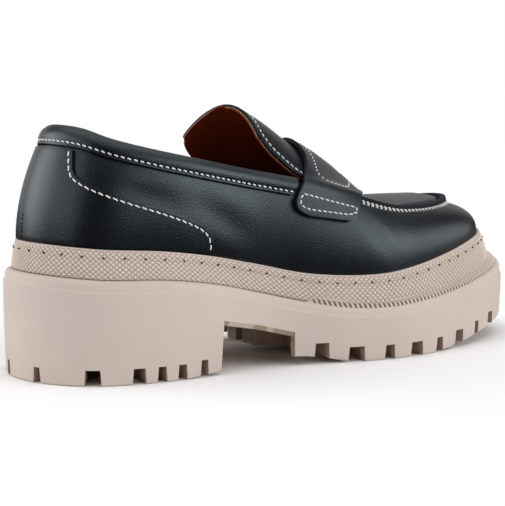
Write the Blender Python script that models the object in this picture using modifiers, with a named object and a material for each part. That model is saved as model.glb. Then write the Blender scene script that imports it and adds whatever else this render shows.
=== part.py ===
"""A platform penny loafer, right shoe, standing on its sole with the toe toward +X.

The plan outline of the sole drives everything: heights and insets along it give the outsole, the
welt and the walls of the upper, and the roof between the walls gives the apron, tongue and strap.
Tables and sizes are in millimetres, objects in metres.
"""

import math

import bmesh
import bpy
import numpy as np

MM = 0.001
GAP = 0.3              # air between neighbouring pieces
MERGE = 0.00002        # metres within which grid points become one
NUDGE = 0.05           # step along a curve to find its direction

# Plan of the outsole wall, from the heel back along the outer side to the toe and back, and the plan
# of the upper's top edge at the same places: the collar behind the throat, the apron's edge in front
OUTLINE_COLUMNS = ("place", "x", "y", "top_x", "top_y")
OUTLINE_ROWS = (
    ("heel_back", -135.0, 0.0, -114.6, 0.0),
    ("outer_heel_corner", -129.2, -21.5, -111.9, -12.4),
    ("outer_heel_round", -114.0, -37.5, -105.2, -23.0),
    ("outer_heel", -94.0, -43.6, -92.0, -30.0),
    ("outer_breast", -62.0, -43.8, -63.0, -33.2),
    ("outer_waist", -34.0, -41.3, -33.6, -31.0),
    ("outer_shank", -10.0, -45.0, -7.0, -32.0),
    ("outer_ball_rear", 12.0, -49.8, 15.0, -32.5),
    ("outer_ball", 32.0, -52.0, 32.0, -31.0),
    ("outer_fore", 62.0, -47.6, 56.5, -26.0),
    ("outer_toe", 91.0, -38.0, 77.0, -18.0),
    ("outer_toe_round", 119.5, -20.5, 91.8, -7.5),
    ("toe_tip", 134.0, 9.0, 97.8, 5.0),
    ("inner_toe_round", 122.0, 33.0, 92.4, 16.8),
    ("inner_toe", 100.0, 45.0, 80.0, 24.6),
    ("inner_ball", 66.0, 52.0, 61.0, 29.4),
    ("inner_ball_rear", 32.0, 49.0, 35.0, 31.6),
    ("inner_shank", 0.0, 43.0, 2.0, 31.8),
    ("inner_waist", -30.0, 39.8, -30.0, 31.0),
    ("inner_breast", -62.0, 42.4, -63.0, 32.2),
    ("inner_heel", -94.0, 43.2, -92.4, 29.5),
    ("inner_heel_round", -114.0, 37.3, -105.4, 22.8),
    ("inner_heel_corner", -129.2, 21.5, -112.0, 12.4),
)
PLAN = slice(1, 3)
TOP_PLAN = slice(3, 5)
FINE_STEPS = 1200      # points along each side where a place on it is looked up

# Heights of the sole along the outline, and how far the welt's foot and top stand in from its wall
SOLE_COLUMNS = ("x", "tread", "groove", "ledge", "welt_top", "ledge_inset", "welt_lean")
SOLE_ROWS = (
    (-135.0, 0.0, 40.6, 45.0, 57.4, 3.8, 1.7),
    (-112.0, 0.0, 38.4, 43.0, 55.4, 4.0, 2.0),
    (-80.0, 0.0, 37.3, 41.6, 53.4, 4.0, 2.2),
    (-56.0, 2.0, 34.0, 38.2, 50.0, 4.0, 2.2),
    (-34.0, 4.0, 28.7, 33.0, 45.2, 4.2, 2.2),
    (-14.0, 4.1, 23.6, 28.0, 40.4, 4.6, 2.3),
    (8.0, 0.7, 20.4, 24.2, 38.2, 5.0, 2.4),
    (30.0, 0.0, 20.2, 23.6, 38.3, 5.2, 2.5),
    (52.0, 0.2, 21.7, 25.2, 40.8, 5.4, 2.7),
    (76.0, 2.6, 23.8, 28.0, 44.6, 5.8, 3.1),
    (104.0, 7.3, 27.6, 32.6, 49.2, 6.6, 3.8),
    (135.0, 12.0, 31.6, 38.0, 53.0, 7.4, 4.4),
)

# Walls of the upper between welt and top edge: height of that edge, how far the wall swells outward
# on the way and the share of its height at which it turns in
WALL_COLUMNS = ("x", "top", "swell", "shoulder")
WALL_ROWS = (
    (-135.0, 104.0, -0.4, 0.46),
    (-122.0, 102.3, 0.2, 0.46),
    (-105.0, 98.3, 1.5, 0.46),
    (-85.0, 94.3, 2.0, 0.46),
    (-60.0, 89.5, 2.2, 0.46),
    (-35.0, 84.6, 2.2, 0.46),
    (-10.0, 79.5, 1.9, 0.49),
    (15.0, 73.2, 1.8, 0.55),
    (30.0, 69.8, 1.5, 0.60),
    (46.0, 67.2, 1.2, 0.63),
    (66.0, 66.2, 1.0, 0.65),
    (88.0, 66.2, 0.8, 0.67),
    (112.0, 66.6, 0.6, 0.69),
    (135.0, 66.9, 0.5, 0.70),
)

# Crest of the roof between the walls, and how narrow it stands above its edges: the tongue behind
# the throat, the apron in front of it
ROOF_COLUMNS = ("x", "crest", "narrow")
ROOF_ROWS = (
    (-32.0, 117.2, 0.8),
    (-15.0, 108.4, 1.1),
    (0.0, 98.9, 1.55),
    (15.0, 91.3, 2.5),
    (30.0, 81.1, 3.2),
    (38.0, 73.7, 3.2),
    (45.0, 71.5, 2.0),
    (54.0, 71.3, 1.2),
    (75.0, 71.2, 0.85),
    (87.0, 70.8, 0.78),
    (93.0, 69.6, 0.75),
    (98.3, 66.9, 0.74),
)
CREST_SHIFT = 0.1      # crest toward the inner side, as a share of half the roof's width

# Outsole
TREAD_DRAFT = 0.6      # how far the tread edge stands in from the wall
STEP = 0.8             # step in the side along the groove line
SHOULDER_DROP = 2.0    # height of the rounded shoulder below the ledge
SHOULDER_LEAN = 0.2
SHOULDER_ROUND = 0.5
SHOULDER_TURN = 1.9
LEDGE_EDGE = 3.0
TREAD_FLAT = 0.3       # part of the tread's rise that is pressed flat on the floor
SIDE_STEPS = 42        # points along each side of a ring

# Arch between heel block and forefoot, seen from the side
ARCH_COLUMNS = ("place", "x", "z")
ARCH_ROWS = (
    ("heel_breast_foot", -57.6, -8.0),
    ("heel_breast_top", -55.6, 23.2),
    ("waist_mid", -36.0, 19.4),
    ("forefoot_top", -19.6, 15.2),
    ("forefoot_foot", -18.6, -8.0),
)
ARCH_REACH = 80.0

# Notches round the tread, on both sides: place along the outline, width, reach inward
NOTCH_COLUMNS = ("x", "width", "reach")
NOTCH_ROWS = (
    (-130.5, 3.2, 13.0),
    (-113.8, 6.0, 26.0),
    (-95.4, 5.0, 14.0),
    (-85.4, 3.4, 14.0),
    (-76.0, 3.6, 14.0),
    (-65.3, 3.2, 14.0),
    (-6.8, 6.4, 26.0),
    (9.6, 7.4, 16.0),
    (26.4, 4.6, 26.0),
    (42.2, 6.8, 16.0),
    (57.8, 4.2, 26.0),
    (73.2, 6.2, 16.0),
    (88.6, 3.4, 26.0),
    (103.2, 6.0, 16.0),
)
END_NOTCH_COLUMNS = ("share", "width", "reach")
END_NOTCH_ROWS = (
    (1.986, 3.2, 16.0),
    (1.0, 5.0, 16.0),
)
NOTCH_DEPTH = 6.6
NOTCH_CLEARANCE = 3.0  # how far a cutter stands proud of what it cuts

# Channels under the tread and the recesses that part the lugs at the forefoot's rear
CHANNEL_COLUMNS = ("start", "end", "y", "width", "depth")
CHANNEL_ROWS = (
    (-116.0, -76.0, 0.0, 6.0, 5.0),
    (-30.0, 76.0, -1.0, 4.4, 5.0),
    (-30.0, -4.6, -24.2, 29.6, 13.6),
    (-30.0, -9.0, 5.6, 6.2, 13.6),
    (-30.0, -6.0, 25.6, 17.6, 13.6),
)

# Welt, upper and insole
WELT_LIP = 1.6         # thickness of the welt's top lip
LIP_ROUND = 0.5
WELT_BOW = 0.35        # share of the welt's lean at half its height
WALL_THICK = 2.0
THROAT_X = 14.0        # rear edge of the apron, under the strap
REAR_STEPS = 28        # ring points from heel back to throat
FRONT_STEPS = 24       # ring points from throat to toe tip
WALL_CLIMBS = (0.0, 0.14, 0.3, 0.46, 0.62, 0.8, 1.0)
APRON_ROWS = 9
INSOLE_DROP = 4.5      # footbed below the welt's top edge
INSOLE_ROUND = 1.2
INSOLE_CLEAR = 0.4

# Collar binding, folded over the edge
BINDING_DROP = 6.8
BINDING_THICK = 1.1
BINDING_INNER_DROP = 4.2
BINDING_CLEAR = 0.35
BINDING_CROWN = 0.7    # its fold above the collar edge
BINDING_INSIDE = 0.56  # its inner leg from the lining side
BINDING_FALL = (1.0, 0.66, 0.33, 0.0)
BINDING_END_LOW = -15.4
BINDING_END_TOP = -11.2
BINDING_STEPS = 44

# Heel counter: height of its edge along the outline
COUNTER_COLUMNS = ("x", "edge")
COUNTER_ROWS = (
    (-123.2, 87.4),
    (-122.0, 85.0),
    (-119.0, 82.8),
    (-112.0, 79.8),
    (-101.0, 76.2),
    (-90.0, 73.0),
    (-79.0, 69.7),
    (-68.0, 65.8),
    (-61.0, 62.3),
    (-57.4, 58.4),
    (-56.4, 52.8),
)
COUNTER_BACK_X = -124.4   # where its edge leaves the binding
COUNTER_BACK_STEPS = 8
COUNTER_SIDE_STEPS = 19
COUNTER_ROW_COUNT = 6
COUNTER_BELOW = 0.9    # its edge below the binding at the heel back
COUNTER_THICK = 1.1
COUNTER_CLEAR = 0.45
COUNTER_FOOT = 0.5     # its lower edge above the welt

# Tongue: its reach to the outer and inner side along the roof, from its rounded top to the throat
TONGUE_COLUMNS = ("x", "outer", "inner")
TONGUE_ROWS = (
    (-27.4, 1.0, 4.0),
    (-27.0, 8.5, 11.5),
    (-26.0, 17.1, 19.6),
    (-24.0, 20.7, 22.8),
    (-21.0, 23.0, 24.8),
    (-16.0, 25.0, 26.2),
    (-8.0, 27.6, 26.6),
    (2.0, 27.4, 26.6),
    (THROAT_X - 0.4, 25.4, 26.4),
)
TONGUE_CENTRE = 1.5
TONGUE_TWIST = 0.40    # how far its top swings back on the inner side
TONGUE_SWEEP = 0.54    # how far its sides sweep back below the crest
TONGUE_THICK = 2.4
TONGUE_COLUMN_COUNT = 15

# Saddle strap: its rear and front edge by how far down the side it has come (1 at the roof's edge)
STRAP_COLUMNS = ("across", "rear", "front")
STRAP_ROWS = (
    (0.0, 3.6, 44.0),
    (0.4, 2.6, 37.6),
    (0.7, -2.4, 29.4),
    (1.0, -9.0, 21.6),
    (1.2, -12.6, 19.0),
    (1.38, -14.0, 16.6),
    (1.47, -12.0, 15.4),
    (1.52, -7.6, 12.6),
)
STRAP_WALL_CLIMB = 0.7    # wall climb used up by one unit of across
STRAP_CLEAR = 0.95
STRAP_THICK = 1.9
STRAP_ACROSS = (0.0, 0.2, 0.4, 0.58, 0.74, 0.88, 1.0, 1.13, 1.27, 1.38, 1.47, 1.52)
STRAP_ALONG = 9
SLOT_X = 28.0
SLOT_LONG = 24.0
SLOT_WIDE = 6.0
SLOT_SLOPE = math.radians(37.0)
SLOT_DEEP = 40.0
SLOT_SIDES = 20

# Raised moccasin seam round the apron
SEAM_START_X = 27.4
SEAM_STEPS = 46
SEAM_WIDTH = 1.9
SEAM_HEIGHT = 1.8
SEAM_OUTER_CLIMB = 0.955
SEAM_CLEAR = 0.45

LEATHER_BLACK = (0.012, 0.013, 0.014, 1.0)
LINING_BROWN = (0.055, 0.016, 0.010, 1.0)
RUBBER_BLUSH = (0.66, 0.55, 0.48, 1.0)
LEATHER_ROUGHNESS = 0.42
LINING_ROUGHNESS = 0.6
RUBBER_ROUGHNESS = 0.64


def through(xs, values):
    """A smooth curve through table values, as a function of x."""
    xs = np.asarray(xs, float)
    values = np.asarray(values, float)
    slopes = np.gradient(values, xs)

    def at(x):
        x = np.clip(np.asarray(x, float), xs[0], xs[-1])
        i = np.clip(np.searchsorted(xs, x, side="right") - 1, 0, len(xs) - 2)
        width = xs[i + 1] - xs[i]
        t = (x - xs[i]) / width
        start = (1 + 2 * t) * (1 - t) ** 2 * values[i] + t * (1 - t) ** 2 * width * slopes[i]
        end = t ** 2 * (3 - 2 * t) * values[i + 1] - t ** 2 * (1 - t) * width * slopes[i + 1]
        return start + end

    return at


def table_curves(columns, rows):
    """One smooth curve over the first column for each other column of a table."""
    values = np.array(rows, float).T
    return {name: through(values[0], values[k]) for k, name in enumerate(columns) if k}


def closed_curve(knots, chord):
    """A smooth closed curve through knots that distances along it part: their starts and its points."""
    before = np.roll(chord, 1)
    count = len(knots)
    matrix = np.diag(2 * (before + chord))
    for k in range(count):
        matrix[k, k - 1] += before[k]
        matrix[k, (k + 1) % count] += chord[k]
    slope = (np.roll(knots, -1, axis=0) - knots) / chord[:, None]
    bend = np.linalg.solve(matrix, 6 * (slope - np.roll(slope, 1, axis=0)))
    start = np.concatenate([[0.0], np.cumsum(chord)])

    def at(length):
        length = np.asarray(length, float) % start[-1]
        i = np.clip(np.searchsorted(start, length, side="right") - 1, 0, count - 1)
        j = (i + 1) % count
        b = ((length - start[i]) / chord[i])[:, None]
        a = 1 - b
        curl = ((a ** 3 - a) * bend[i] + (b ** 3 - b) * bend[j]) * chord[i][:, None] ** 2 / 6
        return a * knots[i] + b * knots[j] + curl

    return start, at


def outlines():
    """The outsole's outline and the top edge, moved so that the outsole is centred on the origin."""
    knots = np.array([row[PLAN] for row in OUTLINE_ROWS], float)
    top_knots = np.array([row[TOP_PLAN] for row in OUTLINE_ROWS], float)
    chord = np.linalg.norm(np.roll(knots, -1, axis=0) - knots, axis=1)
    start, at = closed_curve(knots, chord)
    fine = at(np.linspace(0.0, start[-1], 2 * FINE_STEPS))
    shift = (fine.max(axis=0) + fine.min(axis=0)) / 2
    return start, closed_curve(knots - shift, chord)[1], closed_curve(top_knots - shift, chord)[1]


SOLE = table_curves(SOLE_COLUMNS, SOLE_ROWS)
WALL = table_curves(WALL_COLUMNS, WALL_ROWS)
ROOF = table_curves(ROOF_COLUMNS, ROOF_ROWS)
TONGUE = table_curves(TONGUE_COLUMNS, TONGUE_ROWS)
STRAP = table_curves(STRAP_COLUMNS, STRAP_ROWS)
EDGE_START, EDGE_AT, TOP_AT = outlines()
TIP_INDEX = [row[0] for row in OUTLINE_ROWS].index("toe_tip")
TIP_LENGTH = EDGE_START[TIP_INDEX]


def length_at(share):
    """Length along the outline; share runs 0 heel back, 1 toe tip, 2 heel back."""
    share = np.asarray(share, float) % 2.0
    inner = TIP_LENGTH + (share - 1) * (EDGE_START[-1] - TIP_LENGTH)
    return np.where(share <= 1.0, share * TIP_LENGTH, inner)


def edge(share):
    """Points of the outsole's outline and their inward normals."""
    length = length_at(share)
    run = EDGE_AT(length + NUDGE) - EDGE_AT(length - NUDGE)
    run /= np.linalg.norm(run, axis=1)[:, None]
    return EDGE_AT(length), np.column_stack([-run[:, 1], run[:, 0]])


def place(points, inward, inset, height):
    """Plan points moved inward and raised to a height."""
    flat = points + inward * np.broadcast_to(inset, len(points))[:, None]
    return np.column_stack([flat, np.broadcast_to(height, len(points))])


def tread_height(x):
    """Height of the tread above the floor, flat where heel and forefoot stand."""
    return np.maximum(SOLE["tread"](x) - TREAD_FLAT, 0.0)


def upper_inset(x):
    """How far the upper's outer face stands in from the outsole wall where it leaves the welt."""
    return SOLE["ledge_inset"](x) + SOLE["welt_lean"](x) + WELT_LIP


def wall(share, climb):
    """Outer face of the upper's wall: climb 0 at the welt's top edge, 1 at the wall's top edge."""
    points, inward = edge(share)
    x = points[:, 0]
    climb = np.broadcast_to(climb, len(x))
    middle = 2 * climb * (1 - climb)
    foot = points + inward * upper_inset(x)[:, None]
    lean = (TOP_AT(length_at(share)) - foot) * climb[:, None] ** 2
    low = SOLE["welt_top"](x)
    height = low + (WALL["top"](x) - low) * (WALL["shoulder"](x) * middle + climb ** 2)
    return place(foot + lean, inward, -WALL["swell"](x) * middle, height)


def climb_to(share, height):
    """The climb at which the wall reaches a height."""
    points, inward = edge(share)
    x = points[:, 0]
    low = SOLE["welt_top"](x)
    part = np.clip((height - low) / (WALL["top"](x) - low), 0.0, 1.0)
    shoulder = WALL["shoulder"](x)
    bow = 1 - 2 * shoulder
    return (np.sqrt(shoulder ** 2 + bow * part) - shoulder) / bow


FINE_SHARES = np.linspace(0.0, 1.0, FINE_STEPS)
FINE_OUTER_EDGE = edge(FINE_SHARES)[0]
FINE_INNER_EDGE = edge(2.0 - FINE_SHARES)[0]
FINE_OUTER_TOP = wall(FINE_SHARES, 1.0)
FINE_INNER_TOP = wall(2.0 - FINE_SHARES, 1.0)


def share_of_edge(x, inner=False):
    """Share at which the outsole's outline passes x on one side."""
    fine = FINE_INNER_EDGE if inner else FINE_OUTER_EDGE
    share = np.interp(x, fine[:, 0], FINE_SHARES)
    return 2.0 - share if inner else share


def share_of_top(x, inner=False):
    """Share at which the wall's top edge passes x on one side."""
    fine = FINE_INNER_TOP if inner else FINE_OUTER_TOP
    share = np.interp(x, fine[:, 0], FINE_SHARES)
    return 2.0 - share if inner else share


def roof(x, across):
    """Outer face of the roof between the walls: across -1 at the outer edge, 1 at the inner edge."""
    outer = wall(share_of_top(x), 1.0)
    inner = wall(share_of_top(x, inner=True), 1.0)
    part = ((across + 1) / 2)[:, None]
    point = outer * (1 - part) + inner * part
    away = np.where(across > CREST_SHIFT, (across - CREST_SHIFT) / (1 - CREST_SHIFT),
                    (CREST_SHIFT - across) / (1 + CREST_SHIFT))
    rise = np.maximum(ROOF["crest"](x) - point[:, 2], 0.0)
    point[:, 2] += rise * np.maximum(1 - away ** 2, 0.0) ** ROOF["narrow"](x)
    return point


def across_at(x, y):
    """The across value at which the roof at x passes y."""
    outer = wall(share_of_top(x), 1.0)[:, 1]
    inner = wall(share_of_top(x, inner=True), 1.0)[:, 1]
    return 2 * (y - outer) / (inner - outer) - 1


def raised(rows, distance):
    """A grid of points moved along its own normals; columns run left to right seen from outside."""
    rows = np.asarray(rows, float)
    normal = np.cross(np.gradient(rows, axis=1), np.gradient(rows, axis=0))
    normal /= np.linalg.norm(normal, axis=2)[:, :, None]
    return rows + normal * distance


def lay(mesh, rows):
    """Adds a grid and lays its points on the given rows of places."""
    rows = np.asarray(rows, float)
    count, width = rows.shape[:2]
    grid = bmesh.ops.create_grid(mesh, x_segments=width - 1, y_segments=count - 1, size=1.0)
    for vertex in grid["verts"]:
        column = round((vertex.co.x + 1) / 2 * (width - 1))
        row = round((vertex.co.y + 1) / 2 * (count - 1))
        vertex.co = rows[row, column] * MM


def finish(mesh, name, collection):
    """Joins the grids of a mesh along their shared points and makes an object of it."""
    bmesh.ops.remove_doubles(mesh, verts=mesh.verts, dist=MERGE)
    data = bpy.data.meshes.new(name)
    mesh.to_mesh(data)
    mesh.free()
    item = bpy.data.objects.new(name, data)
    collection.objects.link(item)
    return item


def sheet(name, grids, thickness, collection):
    """A shell: open grids thickened by Solidify, outward for a positive thickness."""
    mesh = bmesh.new()
    for rows in grids:
        lay(mesh, rows)
    item = finish(mesh, name, collection)
    shell = item.modifiers.new("thickness", "SOLIDIFY")
    shell.thickness = abs(thickness) * MM
    shell.offset = 1.0 if thickness > 0 else -1.0
    return item


def lofted(name, rows, collection, hollow=False):
    """A body between rings: capped below and above, or closed on itself where it is hollow."""
    mesh = bmesh.new()
    rows = [np.asarray(row) for row in rows]
    if hollow:
        lay(mesh, rows + rows[:1])
        return finish(mesh, name, collection)
    lay(mesh, rows)
    half = len(rows[0]) // 2 + 1
    lay(mesh, [rows[0][::-1][:half], rows[0][:half]])
    lay(mesh, [rows[-1][:half], rows[-1][::-1][:half]])
    return finish(mesh, name, collection)


def paint(item, name, colour, roughness):
    """Gives an object its own plain material."""
    material = bpy.data.materials.new(name)
    material.use_nodes = True
    shader = material.node_tree.nodes["Principled BSDF"]
    shader.inputs["Base Color"].default_value = colour
    shader.inputs["Roughness"].default_value = roughness
    material.diffuse_color = colour
    item.data.materials.append(material)


def prism(name, outline, depth, collection):
    """A flat closed outline in the XZ plane, extruded both ways along Y."""
    curve = bpy.data.curves.new(name, "CURVE")
    curve.dimensions = "2D"
    curve.fill_mode = "BOTH"
    curve.extrude = depth * MM
    line = curve.splines.new("POLY")
    line.points.add(len(outline) - 1)
    for point, (x, z) in zip(line.points, outline):
        point.co = (x * MM, z * MM, 0.0, 1.0)
    line.use_cyclic_u = True
    flat = bpy.data.objects.new(name, curve)
    data = bpy.data.meshes.new_from_object(flat)
    mesh = bmesh.new()
    mesh.from_mesh(data)
    bmesh.ops.remove_doubles(mesh, verts=mesh.verts, dist=MERGE)
    bmesh.ops.recalc_face_normals(mesh, faces=mesh.faces)
    mesh.to_mesh(data)
    mesh.free()
    bpy.data.objects.remove(flat)
    item = bpy.data.objects.new(name, data)
    item.rotation_euler = (math.radians(90), 0.0, 0.0)
    collection.objects.link(item)
    return item


def block(name, centre, size, turn, collection):
    """A cutting box of a size, turned about Z."""
    bpy.ops.mesh.primitive_cube_add(size=1.0, location=[c * MM for c in centre], rotation=(0, 0, turn))
    item = bpy.context.object
    item.name = name
    item.scale = [s * MM for s in size]
    for home in list(item.users_collection):
        home.objects.unlink(item)
    collection.objects.link(item)
    return item


def ring_shares():
    """Shares of a full ring, closed on itself."""
    return np.linspace(0.0, 2.0, 2 * SIDE_STEPS + 1)


def make_tread_cutters(cutters):
    """The arch, the notches round the edge, and the channels and recesses under the tread."""
    prism("arch_cutter", [row[1:] for row in ARCH_ROWS], ARCH_REACH, cutters)
    places = list(END_NOTCH_ROWS)
    for x, width, reach in NOTCH_ROWS:
        places.append((float(share_of_edge(x)), width, reach))
        places.append((float(share_of_edge(x, inner=True)), width, reach))
    for number, (share, width, reach) in enumerate(places):
        points, inward = edge(np.array([share]))
        point = points[0] + inward[0] * (reach - NOTCH_CLEARANCE) / 2
        turn = math.atan2(inward[0][1], inward[0][0])
        top = float(tread_height(points[0][0])) + NOTCH_DEPTH
        bottom = -NOTCH_CLEARANCE
        size = (reach + NOTCH_CLEARANCE, width, top - bottom)
        block(f"notch_cutter_{number}", (*point, (top + bottom) / 2), size, turn, cutters)
    for number, (start, end, y, width, depth) in enumerate(CHANNEL_ROWS):
        centre = ((start + end) / 2, y, (depth - NOTCH_CLEARANCE) / 2)
        size = (end - start, width, depth + NOTCH_CLEARANCE)
        block(f"channel_cutter_{number}", centre, size, 0.0, cutters)


def make_outsole(parts, cutters):
    """Rubber unit: a loft up its side, with the arch, notches and channels cut from it."""
    points, inward = edge(ring_shares())
    x = points[:, 0]
    tread, groove, ledge = tread_height(x), SOLE["groove"](x), SOLE["ledge"](x)
    levels = (
        (TREAD_DRAFT, tread),
        (0.0, (tread + groove) / 2),
        (0.0, groove - STEP / 2),
        (STEP, groove + STEP / 2),
        (STEP + SHOULDER_LEAN, ledge - SHOULDER_DROP),
        (SHOULDER_TURN, ledge - SHOULDER_ROUND),
        (LEDGE_EDGE, ledge),
    )
    outsole = lofted("outsole", [place(points, inward, inset, z) for inset, z in levels], parts)
    make_tread_cutters(cutters)
    cut = outsole.modifiers.new("tread", "BOOLEAN")
    cut.operation = "DIFFERENCE"
    cut.solver = "EXACT"
    cut.operand_type = "COLLECTION"
    cut.collection = cutters
    paint(outsole, "outsole_rubber", RUBBER_BLUSH, RUBBER_ROUGHNESS)


def make_welt(parts):
    """Rubber band standing on the ledge, leaning in to a thin lip against the upper."""
    points, inward = edge(ring_shares())
    x = points[:, 0]
    foot, top = SOLE["ledge"](x) + GAP, SOLE["welt_top"](x)
    outer, lean = SOLE["ledge_inset"](x), SOLE["welt_lean"](x)
    inner = upper_inset(x) - GAP
    levels = (
        (outer, foot),
        (outer + lean * WELT_BOW, (foot + top) / 2),
        (outer + lean, top - LIP_ROUND),
        (outer + lean + LIP_ROUND, top),
        (inner, top),
        (inner, foot),
    )
    welt = lofted("welt", [place(points, inward, inset, z) for inset, z in levels], parts, hollow=True)
    paint(welt, "welt_rubber", RUBBER_BLUSH, RUBBER_ROUGHNESS)


def make_insole(parts):
    """Footbed inside the upper."""
    points, inward = edge(ring_shares())
    x = points[:, 0]
    foot, top = SOLE["ledge"](x) + GAP, SOLE["welt_top"](x) - INSOLE_DROP
    side = upper_inset(x) + WALL_THICK + INSOLE_CLEAR
    levels = ((side, foot), (side, top - INSOLE_ROUND), (side + INSOLE_ROUND, top))
    insole = lofted("insole", [place(points, inward, inset, z) for inset, z in levels], parts)
    paint(insole, "insole_leather", LINING_BROWN, LINING_ROUGHNESS)


def upper_shares():
    """Shares round the upper with a point at the throat on each side, heel back first."""
    outer_throat = float(share_of_top(THROAT_X))
    inner_throat = float(share_of_top(THROAT_X, inner=True))
    outer = np.concatenate([np.linspace(0.0, outer_throat, REAR_STEPS + 1),
                            np.linspace(outer_throat, 1.0, FRONT_STEPS + 1)[1:]])
    inner = np.concatenate([np.linspace(1.0, inner_throat, FRONT_STEPS + 1)[1:],
                            np.linspace(inner_throat, 2.0, REAR_STEPS + 1)[1:]])
    return np.concatenate([outer, inner])


def make_upper(parts):
    """Walls and apron as one hollow shell, open at the collar and underneath."""
    shares = upper_shares()
    points, inward = edge(shares)
    x = points[:, 0]
    foot = place(points, inward, upper_inset(x), SOLE["ledge"](x) + GAP)
    walls = [foot] + [wall(shares, climb) for climb in WALL_CLIMBS]
    top = walls[-1]
    outer = top[REAR_STEPS:REAR_STEPS + FRONT_STEPS + 1]
    inner = top[REAR_STEPS + FRONT_STEPS:REAR_STEPS + 2 * FRONT_STEPS + 1][::-1]
    apron = []
    for across in np.linspace(-1.0, 1.0, APRON_ROWS):
        part = (across + 1) / 2
        row = outer * (1 - part) + inner * part
        lift = roof(row[:, 0], np.full(len(row), across))[:, 2] - roof_edge(row[:, 0], across)
        row[:, 2] += lift if abs(across) < 1.0 else 0.0
        apron.append(row)
    upper = sheet("upper", [walls, apron], -WALL_THICK, parts)
    paint(upper, "upper_leather", LEATHER_BLACK, LEATHER_ROUGHNESS)


def roof_edge(x, across):
    """Height of the straight line between the roof's two edges."""
    outer = wall(share_of_top(x), 1.0)[:, 2]
    inner = wall(share_of_top(x, inner=True), 1.0)[:, 2]
    part = (across + 1) / 2
    return outer * (1 - part) + inner * part


def make_tongue(parts):
    """Tongue: the roof carried on behind the throat and cut to its rounded outline."""
    grid = []
    for side in np.linspace(-1.0, 1.0, TONGUE_COLUMN_COUNT):
        x = np.array([row[0] for row in TONGUE_ROWS])
        y = side * TONGUE["outer" if side < 0 else "inner"](x)
        row = roof(x, across_at(x, y))
        back = (THROAT_X - x) / (THROAT_X - TONGUE_ROWS[0][0])
        below = ROOF["crest"](x) - row[:, 2]
        row[:, 0] -= (TONGUE_TWIST * (y - TONGUE_CENTRE) + TONGUE_SWEEP * below) * back
        grid.append(row)
    tongue = sheet("tongue", [grid], -TONGUE_THICK, parts)
    paint(tongue, "tongue_leather", LEATHER_BLACK, LEATHER_ROUGHNESS)


def over_instep(x, across):
    """The surface that the strap lies on: roof in the middle, walls beyond its edges."""
    point = roof(x, np.clip(across, -1.0, 1.0))
    climb = 1 - STRAP_WALL_CLIMB * np.maximum(np.abs(across) - 1, 0.0)
    outer = wall(share_of_top(x), climb)
    inner = wall(share_of_top(x, inner=True), climb)
    point = np.where((across < -1.0)[:, None], outer, point)
    return np.where((across > 1.0)[:, None], inner, point)


def make_strap(parts, cutters):
    """Saddle strap over the instep, with a slot cut through its middle."""
    across = np.array([-a for a in STRAP_ACROSS[:0:-1]] + list(STRAP_ACROSS))
    rear, front = STRAP["rear"](np.abs(across)), STRAP["front"](np.abs(across))
    grid = np.array([over_instep(rear + (front - rear) * part, across)
                     for part in np.linspace(0.0, 1.0, STRAP_ALONG)])
    grid = raised(grid.transpose(1, 0, 2), STRAP_CLEAR)
    strap = sheet("strap", [grid], STRAP_THICK, parts)
    bpy.ops.mesh.primitive_cylinder_add(vertices=SLOT_SIDES, radius=0.5, depth=1.0)
    slot = bpy.context.object
    slot.name = "slot_cutter"
    crest = float(ROOF["crest"](SLOT_X))
    slot.location = (SLOT_X * MM, TONGUE_CENTRE * MM, crest * MM)
    slot.rotation_euler = (0.0, SLOT_SLOPE, 0.0)
    slot.scale = (SLOT_WIDE * MM, SLOT_LONG * MM, SLOT_DEEP * MM)
    for home in list(slot.users_collection):
        home.objects.unlink(slot)
    cutters.objects.link(slot)
    cut = strap.modifiers.new("slot", "BOOLEAN")
    cut.operation = "DIFFERENCE"
    cut.solver = "EXACT"
    cut.object = slot
    paint(strap, "strap_leather", LEATHER_BLACK, LEATHER_ROUGHNESS)


def make_binding(parts):
    """Band folded over the collar edge, from strap to strap round the heel."""
    steps = np.linspace(0.0, 1.0, BINDING_STEPS + 1)

    def shares(end_x):
        outer_end = float(share_of_top(end_x))
        inner_end = float(share_of_top(end_x, inner=True))
        return inner_end + (2.0 + outer_end - inner_end) * steps

    ends = np.linspace(BINDING_END_LOW, BINDING_END_TOP, len(BINDING_FALL))
    grid = []
    for end_x, part in zip(ends, BINDING_FALL):
        share = shares(end_x) % 2.0
        top = WALL["top"](edge(share)[0][:, 0])
        grid.append(wall(share, climb_to(share, top - BINDING_DROP * part)))
    share = shares(BINDING_END_TOP) % 2.0
    outer = raised(grid, BINDING_CLEAR)
    inward = edge(share)[1]
    inward = np.column_stack([inward, np.zeros(len(share))])
    up = np.array([0.0, 0.0, 1.0])
    crown_out = grid[-1] + up * BINDING_CROWN
    inside = WALL_THICK + BINDING_INSIDE
    crown_in = grid[-1] + up * BINDING_CLEAR + inward * inside
    low = climb_to(share, WALL["top"](edge(share)[0][:, 0]) - BINDING_INNER_DROP)
    leg = wall(share, low) + inward * inside
    rows = list(outer) + [crown_out, crown_in, leg]
    binding = sheet("binding", [rows], BINDING_THICK, parts)
    paint(binding, "binding_leather", LEATHER_BLACK, LEATHER_ROUGHNESS)


def counter_half():
    """Shares and edge heights of one half of the counter, from heel back forward."""
    back = np.linspace(0.0, float(share_of_edge(COUNTER_BACK_X)), COUNTER_BACK_STEPS)
    top = WALL["top"](edge(back)[0][:, 0]) - BINDING_DROP - COUNTER_BELOW
    rows = np.array(COUNTER_ROWS)
    between = np.linspace(0.0, len(rows) - 1, COUNTER_SIDE_STEPS)
    x, heights = (np.interp(between, np.arange(len(rows)), column) for column in rows.T)
    return np.concatenate([back, share_of_edge(x)]), np.concatenate([top, heights])


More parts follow.
